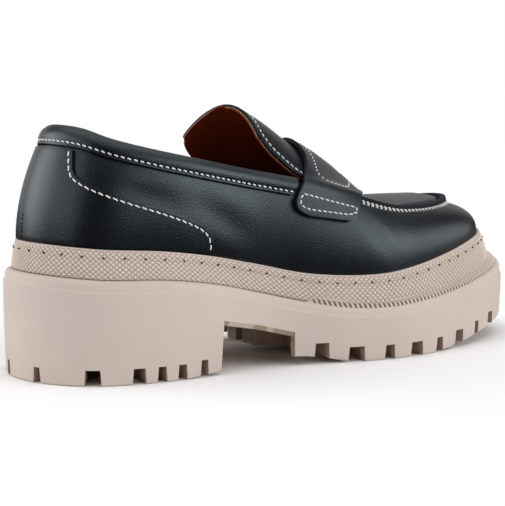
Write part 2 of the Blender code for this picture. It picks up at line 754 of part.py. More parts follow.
def make_counter(parts):
    """Leather overlay round the heel, following the wall."""
    half_share, half_top = counter_half()
    share = np.concatenate([(2.0 - half_share[::-1])[:-1], 2.0 + half_share])
    top = np.concatenate([half_top[::-1][:-1], half_top])
    share = share % 2.0
    foot = SOLE["welt_top"](edge(share)[0][:, 0]) + COUNTER_FOOT
    grid = []
    for part in np.linspace(0.0, 1.0, COUNTER_ROW_COUNT):
        grid.append(wall(share, climb_to(share, foot + (top - foot) * part)))
    counter = sheet("counter", [raised(grid, COUNTER_CLEAR)], COUNTER_THICK, parts)
    paint(counter, "counter_leather", LEATHER_BLACK, LEATHER_ROUGHNESS)


def make_apron_seam(parts):
    """Raised seam where the walls are gathered to the apron, from strap to strap round the toe."""
    start = float(share_of_top(SEAM_START_X))
    end = float(share_of_top(SEAM_START_X, inner=True))
    share = np.linspace(start, end, SEAM_STEPS + 1)
    seam = wall(share, 1.0)
    run = np.gradient(seam[:, :2], axis=0)
    run /= np.linalg.norm(run, axis=1)[:, None]
    inside = seam[:, :2] + np.column_stack([-run[:, 1], run[:, 0]]) * SEAM_WIDTH
    apron = roof(inside[:, 0], across_at(inside[:, 0], inside[:, 1]))
    rows = [wall(share, SEAM_OUTER_CLIMB), seam, np.column_stack([inside, apron[:, 2]])]
    ridge = sheet("apron_seam", [raised(rows, SEAM_CLEAR)], SEAM_HEIGHT, parts)
    paint(ridge, "seam_leather", LEATHER_BLACK, LEATHER_ROUGHNESS)


def main():
    """Clears the scene and builds every piece."""
    for item in list(bpy.data.objects):
        bpy.data.objects.remove(item)
    parts = bpy.data.collections.new("platform_loafer")
    cutters = bpy.data.collections.new("tread_cutters")
    slot_cutters = bpy.data.collections.new("slot_cutters")
    for collection in (parts, cutters, slot_cutters):
        bpy.context.scene.collection.children.link(collection)
    make_outsole(parts, cutters)
    make_welt(parts)
    make_insole(parts)
    make_upper(parts)
    make_tongue(parts)
    make_strap(parts, slot_cutters)
    make_binding(parts)
    make_counter(parts)
    make_apron_seam(parts)
    for collection in (cutters, slot_cutters):
        for item in collection.objects:
            item.hide_render = True
            item.display_type = "WIRE"


main()
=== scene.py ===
"""Looks of the platform loafer: leather, lining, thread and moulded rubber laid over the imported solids.

The plan of the sole and the heights along it are the same as in the solids, so each piece here lies on
the same surfaces at a finer grain. Tables and sizes are in millimetres, objects in metres.
"""

import math

import bpy
import numpy as np
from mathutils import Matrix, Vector
from mathutils.kdtree import KDTree

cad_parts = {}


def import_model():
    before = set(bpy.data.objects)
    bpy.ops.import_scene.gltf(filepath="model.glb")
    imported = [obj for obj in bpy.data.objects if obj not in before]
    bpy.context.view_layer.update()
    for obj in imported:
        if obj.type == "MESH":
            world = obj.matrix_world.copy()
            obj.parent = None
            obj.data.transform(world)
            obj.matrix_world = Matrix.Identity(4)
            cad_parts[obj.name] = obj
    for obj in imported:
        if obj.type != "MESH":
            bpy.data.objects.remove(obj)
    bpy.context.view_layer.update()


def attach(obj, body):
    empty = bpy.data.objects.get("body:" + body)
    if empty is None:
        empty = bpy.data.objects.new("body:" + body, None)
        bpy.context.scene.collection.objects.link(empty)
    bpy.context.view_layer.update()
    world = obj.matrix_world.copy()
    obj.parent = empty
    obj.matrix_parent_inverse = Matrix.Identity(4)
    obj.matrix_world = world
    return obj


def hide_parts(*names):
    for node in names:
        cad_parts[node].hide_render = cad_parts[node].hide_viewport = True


MM = 0.001
GAP = 0.3              # room between neighbouring pieces
MERGE = 0.00002        # metres under which points are joined
NUDGE = 0.05           # step along the outline that gives its direction

# Camera at the photograph's angle
CAMERA_PLACE = (-0.3181, -0.4976, 0.1060)
CAMERA_YAW = math.radians(58.69)
CAMERA_PITCH = math.radians(-5.88)
PHOTO_FOCAL = 1255.0
PHOTO_SIDE = 506.0
SENSOR = 36.0
CAMERA_NEAR = 0.01

# Soft lights of the room: name, direction, cosines from it where the glow starts and is full, strength
GLOW_ROWS = (
    ("ceiling", (0.0, 0.0, 1.0), 0.6, 0.8, 1.3),
    ("left_light", (-0.73, 0.63, 0.27), 0.90, 0.97, 3.6),
    ("left_side_light", (-0.95, -0.1, 0.3), 0.90, 0.97, 1.7),
    ("right_light", (0.97, -0.2, 0.08), 0.90, 0.97, 1.6),
    ("front_light", (0.66, -0.72, 0.2), 0.95, 0.985, 2.2),
    ("high_front_light", (0.67, -0.64, 0.38), 0.94, 0.98, 2.8),
    ("low_front_light", (0.19, -0.95, 0.33), 0.96, 0.985, 2.3),
    ("back_light", (0.62, 0.7, 0.35), 0.90, 0.97, 0.5),
    ("behind_light", (-0.05, 0.99, 0.1), 0.90, 0.97, 0.6),
)
ROOM_DARK = 0.02
FLOOR_WHITE = (0.95, 0.95, 0.95, 1.0)
FLOOR_REFLECTED = (0.03, 0.03, 0.03, 1.0)
FLOOR_ROUGHNESS = 0.9
FLOOR_SIZE = 12.0
FLOOR_HEIGHT = -0.0001

# Place, x and y on the outsole's wall, then x and y on the upper's top edge: from the heel's back to the toe
# along the outer side and back along the inner one
OUTLINE_ROWS = (
    ("heel_back", -135.0, 0.0, -114.6, 0.0),
    ("outer_heel_corner", -129.2, -21.5, -111.9, -12.4),
    ("outer_heel_round", -114.0, -37.5, -105.2, -23.0),
    ("outer_heel", -94.0, -43.6, -92.0, -30.0),
    ("outer_breast", -62.0, -43.8, -63.0, -33.2),
    ("outer_waist", -34.0, -41.3, -33.6, -31.0),
    ("outer_shank", -10.0, -45.0, -7.0, -32.0),
    ("outer_ball_rear", 12.0, -49.8, 15.0, -32.5),
    ("outer_ball", 32.0, -52.0, 32.0, -31.0),
    ("outer_fore", 62.0, -47.6, 56.5, -26.0),
    ("outer_toe", 91.0, -38.0, 77.0, -18.0),
    ("outer_toe_round", 119.5, -20.5, 91.8, -7.5),
    ("toe_tip", 134.0, 9.0, 97.8, 5.0),
    ("inner_toe_round", 122.0, 33.0, 92.4, 16.8),
    ("inner_toe", 100.0, 45.0, 80.0, 24.6),
    ("inner_ball", 66.0, 52.0, 61.0, 29.4),
    ("inner_ball_rear", 32.0, 49.0, 35.0, 31.6),
    ("inner_shank", 0.0, 43.0, 2.0, 31.8),
    ("inner_waist", -30.0, 39.8, -30.0, 31.0),
    ("inner_breast", -62.0, 42.4, -63.0, 32.2),
    ("inner_heel", -94.0, 43.2, -92.4, 29.5),
    ("inner_heel_round", -114.0, 37.3, -105.4, 22.8),
    ("inner_heel_corner", -129.2, 21.5, -112.0, 12.4),
)
PLAN = slice(1, 3)
TOP_PLAN = slice(3, 5)
FINE_STEPS = 1200

# Heights of the sole along the outline, and how far the welt's foot and top stand in from its wall
SOLE_COLUMNS = ("x", "tread", "groove", "ledge", "welt_top", "ledge_inset", "welt_lean")
SOLE_ROWS = (
    (-135.0, 0.0, 40.6, 45.0, 57.4, 3.8, 1.7),
    (-112.0, 0.0, 38.4, 43.0, 55.4, 4.0, 2.0),
    (-80.0, 0.0, 37.3, 41.6, 53.4, 4.0, 2.2),
    (-56.0, 2.0, 34.0, 38.2, 50.0, 4.0, 2.2),
    (-34.0, 4.0, 28.7, 33.0, 45.2, 4.2, 2.2),
    (-14.0, 4.1, 23.6, 28.0, 40.4, 4.6, 2.3),
    (8.0, 0.7, 20.4, 24.2, 38.2, 5.0, 2.4),
    (30.0, 0.0, 20.2, 23.6, 38.3, 5.2, 2.5),
    (52.0, 0.2, 21.7, 25.2, 40.8, 5.4, 2.7),
    (76.0, 2.6, 23.8, 28.0, 44.6, 5.8, 3.1),
    (104.0, 7.3, 27.6, 32.6, 49.2, 6.6, 3.8),
    (135.0, 12.0, 31.6, 38.0, 53.0, 7.4, 4.4),
)

# Walls of the upper between welt and top edge
WALL_COLUMNS = ("x", "top", "swell", "shoulder")
WALL_ROWS = (
    (-135.0, 104.0, -0.4, 0.46),
    (-122.0, 102.3, 0.2, 0.46),
    (-105.0, 98.3, 1.5, 0.46),
    (-85.0, 94.3, 2.0, 0.46),
    (-60.0, 89.5, 2.2, 0.46),
    (-35.0, 84.6, 2.2, 0.46),
    (-10.0, 79.5, 1.9, 0.49),
    (15.0, 73.2, 1.8, 0.55),
    (30.0, 69.8, 1.5, 0.60),
    (46.0, 67.2, 1.2, 0.63),
    (66.0, 66.2, 1.0, 0.65),
    (88.0, 66.2, 0.8, 0.67),
    (112.0, 66.6, 0.6, 0.69),
    (135.0, 66.9, 0.5, 0.70),
)

# Crest of the roof between the walls and how narrow it stands: tongue behind the throat, then apron
ROOF_COLUMNS = ("x", "crest", "narrow")
ROOF_ROWS = (
    (-32.0, 117.2, 0.8),
    (-15.0, 108.4, 1.1),
    (0.0, 98.9, 1.55),
    (15.0, 91.3, 2.5),
    (30.0, 81.1, 3.2),
    (38.0, 73.7, 3.2),
    (45.0, 71.5, 2.0),
    (54.0, 71.3, 1.2),
    (75.0, 71.2, 0.85),
    (87.0, 70.8, 0.78),
    (93.0, 69.6, 0.75),
    (98.3, 66.9, 0.74),
)
CREST_SHIFT = 0.1

# Outsole
TREAD_DRAFT = 0.6
TREAD_FLAT = 0.3
STEP = 0.8
GROOVE_DEEP = 0.55
GROOVE_HALF = 0.45
SHOULDER_DROP = 2.4
LEDGE_EDGE = 3.0
SOLE_STEPS = 110
TREAD_ROUND = 0.5
SIDE_PARTS = (0.25, 0.5, 0.75)     # of the wall between tread and groove
ROUND_STEPS = 7

# Corners of the arch: place, x and z
ARCH_ROWS = (
    ("heel_breast_foot", -57.6, -8.0),
    ("heel_breast_top", -55.6, 23.2),
    ("waist_mid", -36.0, 19.4),
    ("forefoot_top", -19.6, 15.2),
    ("forefoot_foot", -18.6, -8.0),
)
ARCH_REACH = 80.0
ARCH_CHAMFER = 2.3     # the arch's roof stands this much under its outer edges
# Outsole faces this far inside the outline and below the groove get painted shade
RECESS_INSET = 1.0
ARCH_STEPS = 12
ARCH_PROUD = 1.0       # how far the wedge along the arch's edge stands out of the wall
RECESS_DROP = 1.0      # recesses lie this far below the groove

# Notches: x on both sides, or a share of the outline at the two ends, then width and reach
NOTCH_ROWS = (
    (-130.5, 3.2, 13.0),
    (-113.8, 6.0, 26.0),
    (-95.4, 5.0, 14.0),
    (-85.4, 3.4, 14.0),
    (-76.0, 3.6, 14.0),
    (-65.3, 3.2, 14.0),
    (-6.8, 6.4, 26.0),
    (9.6, 7.4, 16.0),
    (26.4, 4.6, 26.0),
    (42.2, 6.8, 16.0),
    (57.8, 4.2, 26.0),
    (73.2, 6.2, 16.0),
    (88.6, 3.4, 26.0),
    (103.2, 6.0, 16.0),
)
END_NOTCH_ROWS = (
    (1.986, 3.2, 16.0),
    (1.0, 5.0, 16.0),
)
NOTCH_DEPTH = 6.6
NOTCH_CLEARANCE = 3.0
NOTCH_FLARE = 0.7      # how far each side of a notch opens toward the floor

# Channels and recesses under the tread: start, end, y, width and depth
CHANNEL_ROWS = (
    (-116.0, -76.0, 0.0, 6.0, 5.0),
    (-30.0, 76.0, -1.0, 4.4, 5.0),
    (-30.0, -4.6, -24.2, 29.6, 13.6),
    (-30.0, -9.0, 5.6, 6.2, 13.6),
    (-30.0, -6.0, 25.6, 17.6, 13.6),
)

# Welt: a knurled band of small pyramids under a smooth lip, sewn through near its top
WELT_LIP = 1.6
WELT_BOW = 0.4         # share of the welt's lean that grows evenly with height
WELT_BACK = 0.6        # thickness of the band behind the knurl
WELT_BACK_RISE = 1.0
WELT_BACK_DROP = 0.4
LIP_HIGH = 0.7
LIP_ROWS = (           # inset from the knurl's top and height over it
    (0.0, 0.0),
    (-0.175, 0.1),
    (-0.25, 0.245),
    (-0.15, 0.49),
    (0.12, 0.62),
    (0.4, 0.7),
)
LIP_INNER_ROUND = 0.3
LIP_INNER_DROP = 0.25
KNURL_COLUMNS = 472    # half diamonds round the welt
KNURL_ROWS = 12
KNURL_HIGH = 0.5
WELT_SEAM_DROP = 3.4
WELT_SEAM_PITCH = 8.7
WELT_SEAM_TILT = 0.15
# Holes of the welt seam: dark stubs of painted shade where the thread goes in
WELT_HOLE_THICK = 0.44
WELT_HOLE_LONG = 0.9
WELT_HOLE_LEAN = 0.35
WELT_HOLE_LIFT = 0.6   # of the knurl's height
WELT_THREAD = 0.24
WELT_THREAD_LIFT = 0.55
WELT_THREAD_END = 0.25

# Fluted cove between welt and ledge round the forefoot
FLUTE_START_X = -13.0
FLUTE_PITCH = 2.5
FLUTE_HIGH = 2.9
FLUTE_DEEP = 1.25
FLUTE_SLANT = 0.8      # flutes passed from top to bottom
FLUTE_COLUMNS = 8
FLUTE_ROWS = 6
FLUTE_EASE = 1.5       # flutes over which the cove begins and ends
FLUTE_RIB = (0.65, 1.5)    # middle and swing of the wave that is cut off to ribs
FLUTE_BOW = 1.15       # above one, a rib ends before the cove's top
FLUTE_OUT = 0.75       # shares of a rib's depth that go outward and upward
FLUTE_UP = 0.6
FLUTE_SINK = 0.1
FLUTE_TUCK = 0.5

# Upper
WALL_THICK = 2.0
THROAT_X = 14.0
REAR_STEPS = 90
FRONT_STEPS = 80
WALL_ROWS_FINE = 26
APRON_ROWS = 45
INSOLE_DROP = 4.5
INSOLE_ROUND = 1.2
LINING_CLEAR = 0.15
LINING_THICK = 0.5
INSOLE_CLEAR = 0.4
INSOLE_STEPS = 6
LINING_STEPS = 120
LINING_ROW_COUNT = 18
LINING_DROP = 1.5

# Creases: side, place on it, direction, half length, half width and depth of a soft trough
CREASE_ROWS = (
    ("outer", -88.0, 76.0, -16.0, 16.0, 5.0, 0.7),
    ("outer", -52.0, 66.0, -30.0, 15.0, 5.0, 0.45),
    ("outer", 26.0, 57.0, -52.0, 12.0, 3.6, 0.2),
    ("outer", 40.0, 56.0, -60.0, 11.0, 3.4, 0.12),
    ("inner", -84.0, 75.0, -16.0, 16.0, 5.0, 0.6),
    ("inner", -30.0, 62.0, -40.0, 14.0, 5.0, 0.5),
    ("inner", 28.0, 57.0, -55.0, 12.0, 3.6, 0.2),
    ("inner", 42.0, 56.0, -62.0, 11.0, 3.4, 0.12),
)
CREASE_RIDGE = 0.45    # ridges beside a trough, as a share of its depth
CREASE_RIDGE_OFF = 1.9

# Collar binding
BINDING_DROP = 6.8
BINDING_THICK = 1.1
BINDING_INNER_DROP = 4.2
BINDING_CLEAR = 0.35
BINDING_CROWN = 0.7
BINDING_INSIDE = 0.56
BINDING_PUFF = 0.8
BINDING_END_LOW = -15.4
BINDING_END_TOP = -11.2
BINDING_STEPS = 200
BINDING_FALLS = 11
COLLAR_STITCH_DROP = 5.2
BINDING_PUFF_START = 0.25
BINDING_PUFF_POWER = 0.8
BINDING_BEVEL = 0.45

# Heel counter: x and height of its edge
COUNTER_ROWS = (
    (-123.2, 87.4),
    (-122.0, 85.0),
    (-119.0, 82.8),
    (-112.0, 79.8),
    (-101.0, 76.2),
    (-90.0, 73.0),
    (-79.0, 69.7),
    (-68.0, 65.8),
    (-61.0, 62.3),
    (-57.4, 58.4),
    (-56.4, 52.8),
)
COUNTER_BACK_X = -124.4
COUNTER_BACK_STEPS = 110
COUNTER_SIDE_STEPS = 90
COUNTER_ROW_COUNT = 22
COUNTER_THICK = 1.1
COUNTER_CLEAR = 0.45
COUNTER_FOOT = 0.5
COUNTER_BELOW = 0.9
COUNTER_STITCH_INSET = 1.7
DART_HIGH = 11.0
DART_WIDE = 0.45
DART_DEEP = 0.7
DART_PITCH = 1.7
DART_GAP = 0.2
DART_THREAD = 0.45
COUNTER_BEVEL = 0.4
DART_START = 0.5
DART_FADE = 0.5
DART_FRONT_X = -100.0
DART_PATH_STEPS = 20

# Tongue
TONGUE_COLUMNS = ("x", "outer", "inner")
TONGUE_ROWS = (
    (-27.4, 1.0, 4.0),
    (-27.0, 8.5, 11.5),
    (-26.0, 17.1, 19.6),
    (-24.0, 20.7, 22.8),
    (-21.0, 23.0, 24.8),
    (-16.0, 25.0, 26.2),
    (-8.0, 27.6, 26.6),
    (2.0, 27.4, 26.6),
    (THROAT_X - 0.4, 25.4, 26.4),
)
TONGUE_CENTRE = 1.5
TONGUE_TWIST = 0.40
TONGUE_SWEEP = 0.54
TONGUE_THICK = 1.35
TONGUE_EDGE_THICK = 0.25
TONGUE_LINING_THICK = 0.75
TONGUE_COLUMN_COUNT = 61
TONGUE_ROW_COUNT = 50
TONGUE_BEVEL = 0.25
TONGUE_STITCH_INSET = (2.4, 1.0)     # at the tongue's top and at the strap
TONGUE_STITCH_TURN = (-12.0, 4.0)    # x between which the inset changes
TONGUE_STITCH_END_X = 6.0
TONGUE_CROWDING = 1.8  # above one, rows crowd toward the tongue's top
LAYER_GAP = 0.02

# Saddle strap
STRAP_COLUMNS = ("across", "rear", "front")
STRAP_ROWS = (
    (0.0, 3.6, 44.0),
    (0.4, 2.6, 37.6),
    (0.7, -2.4, 29.4),
    (1.0, -9.0, 21.6),
    (1.2, -12.6, 19.0),
    (1.38, -14.0, 16.6),
    (1.47, -12.0, 15.4),
    (1.52, -7.6, 12.6),
)
STRAP_WALL_CLIMB = 0.7
STRAP_CLEAR = 0.95
STRAP_THICK = 1.9
STRAP_STEPS = 81
STRAP_ALONG = 41
STRAP_BEVEL = 0.35
SLOT_X = 28.0
SLOT_LONG = 24.0
SLOT_WIDE = 6.0
SLOT_SLOPE = math.radians(37.0)
SLOT_DEEP = 40.0
SLOT_SIDES = 48

# Stitch lines on the strap's inner half, places across it and along the shoe; the outer half mirrors them
TAB_STITCH_ROWS = (
    (1.195, -10.6),
    (1.28, 16.8),
    (1.36, 16.6),
    (1.42, 12.5),
    (1.42, -8.5),
    (1.375, -12.2),
    (1.30, -12.4),
)
PANEL_STITCH_ROWS = (
    (0.0, 8.4),
    (0.213, 8.0),
    (0.325, 7.6),
    (0.525, 5.4),
    (0.725, 2.2),
    (0.84, 1.6),
    (0.86, 6.0),
    (0.8, 13.0),
    (0.72, 20.0),
    (0.525, 25.6),
    (0.42, 27.4),
    (0.2, 32.6),
    (0.0, 35.0),
)
STITCH_PATH_SCALE = np.array([28.0, 1.0])     # millimetres for one across
STITCH_PATH_STEPS = 240
TAB_CORNER = 3         # steps of the path that round its corners
PANEL_CORNER = 6
PANEL_STITCH_PITCH = 2.9
PANEL_STITCH_GAP = 1.3
PANEL_STITCH_RADIUS = 0.31

# Raised moccasin seam round the apron: height of its rim, how far its stitches lie below the edge and
# how far they reach up and down
SEAM_COLUMNS = ("x", "high", "drop", "reach")
SEAM_ROWS = (
    (20.0, 2.0, 1.5, 0.9),
    (70.0, 2.2, 1.4, 0.95),
    (88.0, 3.2, 0.8, 1.2),
    (99.0, 4.4, 0.4, 1.5),
)
SEAM_START_X = 22.2
SEAM_STEPS = 180
SEAM_OUT = 1.5
SEAM_IN = 1.6
SEAM_SINK = 0.6
SEAM_SQUARE = 0.55     # powers under one give the rim upright sides
SEAM_SIDES = 15
SEAM_PITCH = 2.83
SEAM_STITCH_THICK = 0.5
SEAM_CROSSING_THICK = 0.25
APRON_DIP = 1.2
APRON_DIP_INSET = 2.8
APRON_DIP_WIDE = 1.4
SEAM_THICK = 0.5
SEAM_TILT = 0.35
SEAM_STITCH_OUT = 0.3
SEAM_STITCH_LEAN = (0.9, 0.75)     # lengths along the seam behind and ahead of a stitch's middle
SEAM_CROSSING_LEAN = (0.7, 0.5)
APRON_DIP_EASE = 6.0

# Thread and stitches
STITCH_PITCH = 2.75
STITCH_GAP = 0.7
COUNTER_STITCH_PITCH = 3.1
STITCH_RADIUS = 0.31
STITCH_SLANT = -0.2
THREAD_SIDES = 6
THREAD_PARTS = (0.0, 0.16, 0.5, 0.84, 1.0)
THREAD_GIRTH = (0.5, 0.95, 1.0, 0.95, 0.5)
THREAD_RISE = (-0.7, 0.3, 0.5, 0.3, -0.7)
STITCH_LIFT = 0.1

# Steps by which surfaces are felt for their normals, angles under which an edge counts as smooth, and
# faces across a rounded edge
WALL_PROBE = 0.002
STRAP_PROBE = 0.01
SMOOTH = 50.0
SMOOTH_THREAD = 70.0
SMOOTH_RIM = 60.0
SMOOTH_STRAP = 45.0
SMOOTH_INSOLE = 40.0
SMOOTH_FLUTES = 40.0
SMOOTH_OUTSOLE = 32.0
SMOOTH_KNURL = 15.0
BEVEL_SEGMENTS = 3

# Materials: cells of a texture per metre and detail of a noise, spans of their values, shares of a colour
# over them and bumps
LEATHER_CELLS = 1800.0
LEATHER_PORES = (3200.0, 2.0)
LEATHER_CLOUD = (45.0, 3.0)
LEATHER_SPAN = (0.3, 0.75)
LEATHER_SHADES = (0.82, 1.25)
LEATHER_GLOSS = (-0.05, 0.08)
HIDE_BUMP = 0.0002
PORE_BUMP = 0.00006
PORE_SHARE = 0.6
RUBBER_CLOUD = (28.0, 4.0)
RUBBER_SKIN = (2600.0, 3.0)
RUBBER_SPAN = (0.25, 0.8)
RUBBER_SHADES = (0.94, 1.04)
RUBBER_ROUGHNESS = 0.62
RUBBER_SPECULAR = 0.35
SKIN_BUMP = 0.00006
SKIN_STRENGTH = 0.12
THREAD_TWIST = 900.0
TWIST_WOBBLE = 1.5
THREAD_SPAN = (0.0, 0.5)
THREAD_SHADES = (0.78, 1.0)
THREAD_ROUGHNESS = 0.7
THREAD_SPECULAR = 0.2
THREAD_SHEEN = 0.2
TWIST_BUMP = 0.00008
TWIST_STRENGTH = 0.5
EDGE_FIBRES = (1500.0, 3.0)
EDGE_SPAN = (0.3, 0.7)
EDGE_SHADES = (0.7, 1.0)
CUT_EDGE_ROUGHNESS = 0.7
EDGE_TURN = 0.6        # cosine to the sheet's normal under which a face is a cut edge
EDGE_ROUGHNESS = 0.9
BLACK = (0.0040, 0.0048, 0.0062, 1.0)
BLACK_SHEEN = (0.78, 0.93, 1.0, 1.0)
LINING_RED = (0.145, 0.022, 0.005, 1.0)
LINING_SHEEN = (1.0, 0.7, 0.55, 1.0)
CUT_EDGE_TAN = (0.42, 0.27, 0.18, 1.0)
BLUSH = (0.60, 0.505, 0.455, 1.0)
# Painted shade: the blush darkened where the outsole's recesses lie in shadow
BLUSH_PAINTED_SHADE = (0.42, 0.31, 0.235, 1.0)
# A lighter copy of the blush rubber: painted light on the knurl's and flutes' tops, set against their
# painted shade
KNURL_PAINTED_LIGHT_BLUSH = (0.72, 0.61, 0.54, 1.0)
# Painted shade in the knurl's valleys
KNURL_PAINTED_SHADE = (0.30, 0.225, 0.185, 1.0)
FLUTE_SHADE = (0.17, 0.115, 0.085, 1.0)
THREAD_WHITE = (0.86, 0.86, 0.84, 1.0)
THREAD_BEIGE = (0.62, 0.52, 0.38, 1.0)
# Painted shade: the dark inside the welt seam's holes
HOLE_PAINTED_SHADE = (0.03, 0.018, 0.011, 1.0)

# Sockets of a mix node: its factor, the two values for numbers and for colours, and the mixed colour
MIX_FACTOR = 0
MIX_NUMBERS = (2, 3)
MIX_COLOURS = (6, 7)
MIX_COLOUR_OUT = 2

# Leathers: colour, tint and roughness of the gloss, strength of the grain and of the gloss
BLACK_LEATHER = (BLACK, BLACK_SHEEN, 0.31, 0.4, 0.5)
LINING_LEATHER = (LINING_RED, LINING_SHEEN, 0.55, 0.25, 0.12)

# Rubbers: colour, colour of the painted shade in the recesses and how narrow that shade is
BLUSH_RUBBER = (BLUSH, BLUSH_PAINTED_SHADE, 1.0)
KNURLED_RUBBER = (KNURL_PAINTED_LIGHT_BLUSH, KNURL_PAINTED_SHADE, 3.0)
FLUTED_RUBBER = (KNURL_PAINTED_LIGHT_BLUSH, FLUTE_SHADE, 1.2)


def through(xs, values):
    """A smooth curve through table values, as a function of x."""
    xs = np.asarray(xs, float)
    values = np.asarray(values, float)
    slopes = np.gradient(values, xs)

    def at(x):
        x = np.clip(np.asarray(x, float), xs[0], xs[-1])
        i = np.clip(np.searchsorted(xs, x, side="right") - 1, 0, len(xs) - 2)
        width = xs[i + 1] - xs[i]
        t = (x - xs[i]) / width
        start = (1 + 2 * t) * (1 - t) ** 2 * values[i] + t * (1 - t) ** 2 * width * slopes[i]
        end = t ** 2 * (3 - 2 * t) * values[i + 1] - t ** 2 * (1 - t) * width * slopes[i + 1]
        return start + end

    return at


def table_curves(columns, rows):
    """One smooth curve over the first column for each other column of a table."""
    values = np.array(rows, float).T
    return {name: through(values[0], values[k]) for k, name in enumerate(columns) if k}


def closed_curve(knots, chord):
    """A smooth closed curve through knots: the lengths along it where they lie, and its points by length."""
    before = np.roll(chord, 1)
    count = len(knots)
    matrix = np.diag(2 * (before + chord))
    for k in range(count):
        matrix[k, k - 1] += before[k]
        matrix[k, (k + 1) % count] += chord[k]
    slope = (np.roll(knots, -1, axis=0) - knots) / chord[:, None]
    bend = np.linalg.solve(matrix, 6 * (slope - np.roll(slope, 1, axis=0)))
    start = np.concatenate([[0.0], np.cumsum(chord)])

    def at(length):
        length = np.asarray(length, float) % start[-1]
        i = np.clip(np.searchsorted(start, length, side="right") - 1, 0, count - 1)
        j = (i + 1) % count
        b = ((length - start[i]) / chord[i])[:, None]
        a = 1 - b
        curl = ((a ** 3 - a) * bend[i] + (b ** 3 - b) * bend[j]) * chord[i][:, None] ** 2 / 6
        return a * knots[i] + b * knots[j] + curl

    return start, at


def outlines():
    """The outsole's outline and the top edge, moved so that the outsole is centred on the origin."""
    knots = np.array([row[PLAN] for row in OUTLINE_ROWS], float)
    top_knots = np.array([row[TOP_PLAN] for row in OUTLINE_ROWS], float)
    chord = np.linalg.norm(np.roll(knots, -1, axis=0) - knots, axis=1)
    start, at = closed_curve(knots, chord)
    fine = at(np.linspace(0.0, start[-1], 2 * FINE_STEPS))
    shift = (fine.max(axis=0) + fine.min(axis=0)) / 2
    return start, closed_curve(knots - shift, chord)[1], closed_curve(top_knots - shift, chord)[1]


SOLE = table_curves(SOLE_COLUMNS, SOLE_ROWS)
WALL = table_curves(WALL_COLUMNS, WALL_ROWS)
ROOF = table_curves(ROOF_COLUMNS, ROOF_ROWS)
TONGUE = table_curves(TONGUE_COLUMNS, TONGUE_ROWS)
STRAP = table_curves(STRAP_COLUMNS, STRAP_ROWS)
SEAM = table_curves(SEAM_COLUMNS, SEAM_ROWS)
EDGE_START, EDGE_AT, TOP_AT = outlines()
TIP_LENGTH = EDGE_START[[row[0] for row in OUTLINE_ROWS].index("toe_tip")]


def length_at(share):
    """Length along the outline; share runs 0 heel back, 1 toe tip, 2 heel back."""
    share = np.asarray(share, float) % 2.0
    inner = TIP_LENGTH + (share - 1) * (EDGE_START[-1] - TIP_LENGTH)
    return np.where(share <= 1.0, share * TIP_LENGTH, inner)


def share_at(length):
    """The share at a length along the outline."""
    inner = 1 + (length - TIP_LENGTH) / (EDGE_START[-1] - TIP_LENGTH)
    return np.where(length <= TIP_LENGTH, length / TIP_LENGTH, inner)


def edge(share):
    """Points of the outsole's outline and their inward normals."""
    length = length_at(share)
    run = EDGE_AT(length + NUDGE) - EDGE_AT(length - NUDGE)
    run /= np.linalg.norm(run, axis=1)[:, None]
    return EDGE_AT(length), np.column_stack([-run[:, 1], run[:, 0]])


def place(points, inward, inset, height):
    """Plan points moved inward and raised to a height."""
    flat = points + inward * np.broadcast_to(inset, len(points))[:, None]
    return np.column_stack([flat, np.broadcast_to(height, len(points))])


def tread_height(x):
    """Height of the tread above the floor, flat where heel and forefoot stand."""
    return np.maximum(SOLE["tread"](x) - TREAD_FLAT, 0.0)


def upper_inset(x):
    """How far the upper's outer face stands in from the outsole wall where it leaves the welt."""
    return SOLE["ledge_inset"](x) + SOLE["welt_lean"](x) + WELT_LIP


def wall(share, climb):
    """Outer face of the upper's wall: climb 0 at the welt's top edge, 1 at the wall's top edge."""
    points, inward = edge(share)
    x = points[:, 0]
    climb = np.broadcast_to(climb, len(x))
    middle = 2 * climb * (1 - climb)
    foot = points + inward * upper_inset(x)[:, None]
    lean = (TOP_AT(length_at(share)) - foot) * climb[:, None] ** 2
    low = SOLE["welt_top"](x)
    height = low + (WALL["top"](x) - low) * (WALL["shoulder"](x) * middle + climb ** 2)
    return place(foot + lean, inward, -WALL["swell"](x) * middle, height)


def edge_x(share):
    """Places of the outsole's outline along the shoe."""
    return EDGE_AT(length_at(share))[:, 0]


def inward_at(share):
    """Level directions into the shoe from its outline."""
    return np.column_stack([edge(share)[1], np.zeros(len(share))])


def climb_to(share, height):
    """The climb at which the wall reaches a height."""
    x = edge_x(share)
    low = SOLE["welt_top"](x)
    part = np.clip((height - low) / (WALL["top"](x) - low), 0.0, 1.0)
    shoulder = WALL["shoulder"](x)
    bow = 1 - 2 * shoulder
    return (np.sqrt(shoulder ** 2 + bow * part) - shoulder) / bow


def climb_below(share, drop):
    """The climb at which the wall is a drop below its top edge."""
    return climb_to(share, WALL["top"](edge_x(share)) - drop)


# Fine shares of the outer and of the inner side, and where the outline and the top edge pass there
SIDES = (np.linspace(0.0, 1.0, FINE_STEPS), np.linspace(2.0, 1.0, FINE_STEPS))
FINE_EDGE = [edge_x(shares) for shares in SIDES]
FINE_TOP = [wall(shares, 1.0)[:, 0] for shares in SIDES]


def share_of_edge(x, inner=False):
    """Share at which the outsole's outline passes x on one side."""
    return np.interp(x, FINE_EDGE[inner], SIDES[inner])


def share_of_top(x, inner=False):
    """Share at which the wall's top edge passes x on one side."""
    return np.interp(x, FINE_TOP[inner], SIDES[inner])


def top_shares(x):
    """Shares at which the wall's top edge passes one x on the outer and on the inner side."""
    return [float(share_of_top(x, inner)) for inner in (False, True)]


def wall_pair(x, climb=1.0):
    """The walls of both sides at x, the outer one first."""
    return [wall(share_of_top(x, inner), climb) for inner in (False, True)]


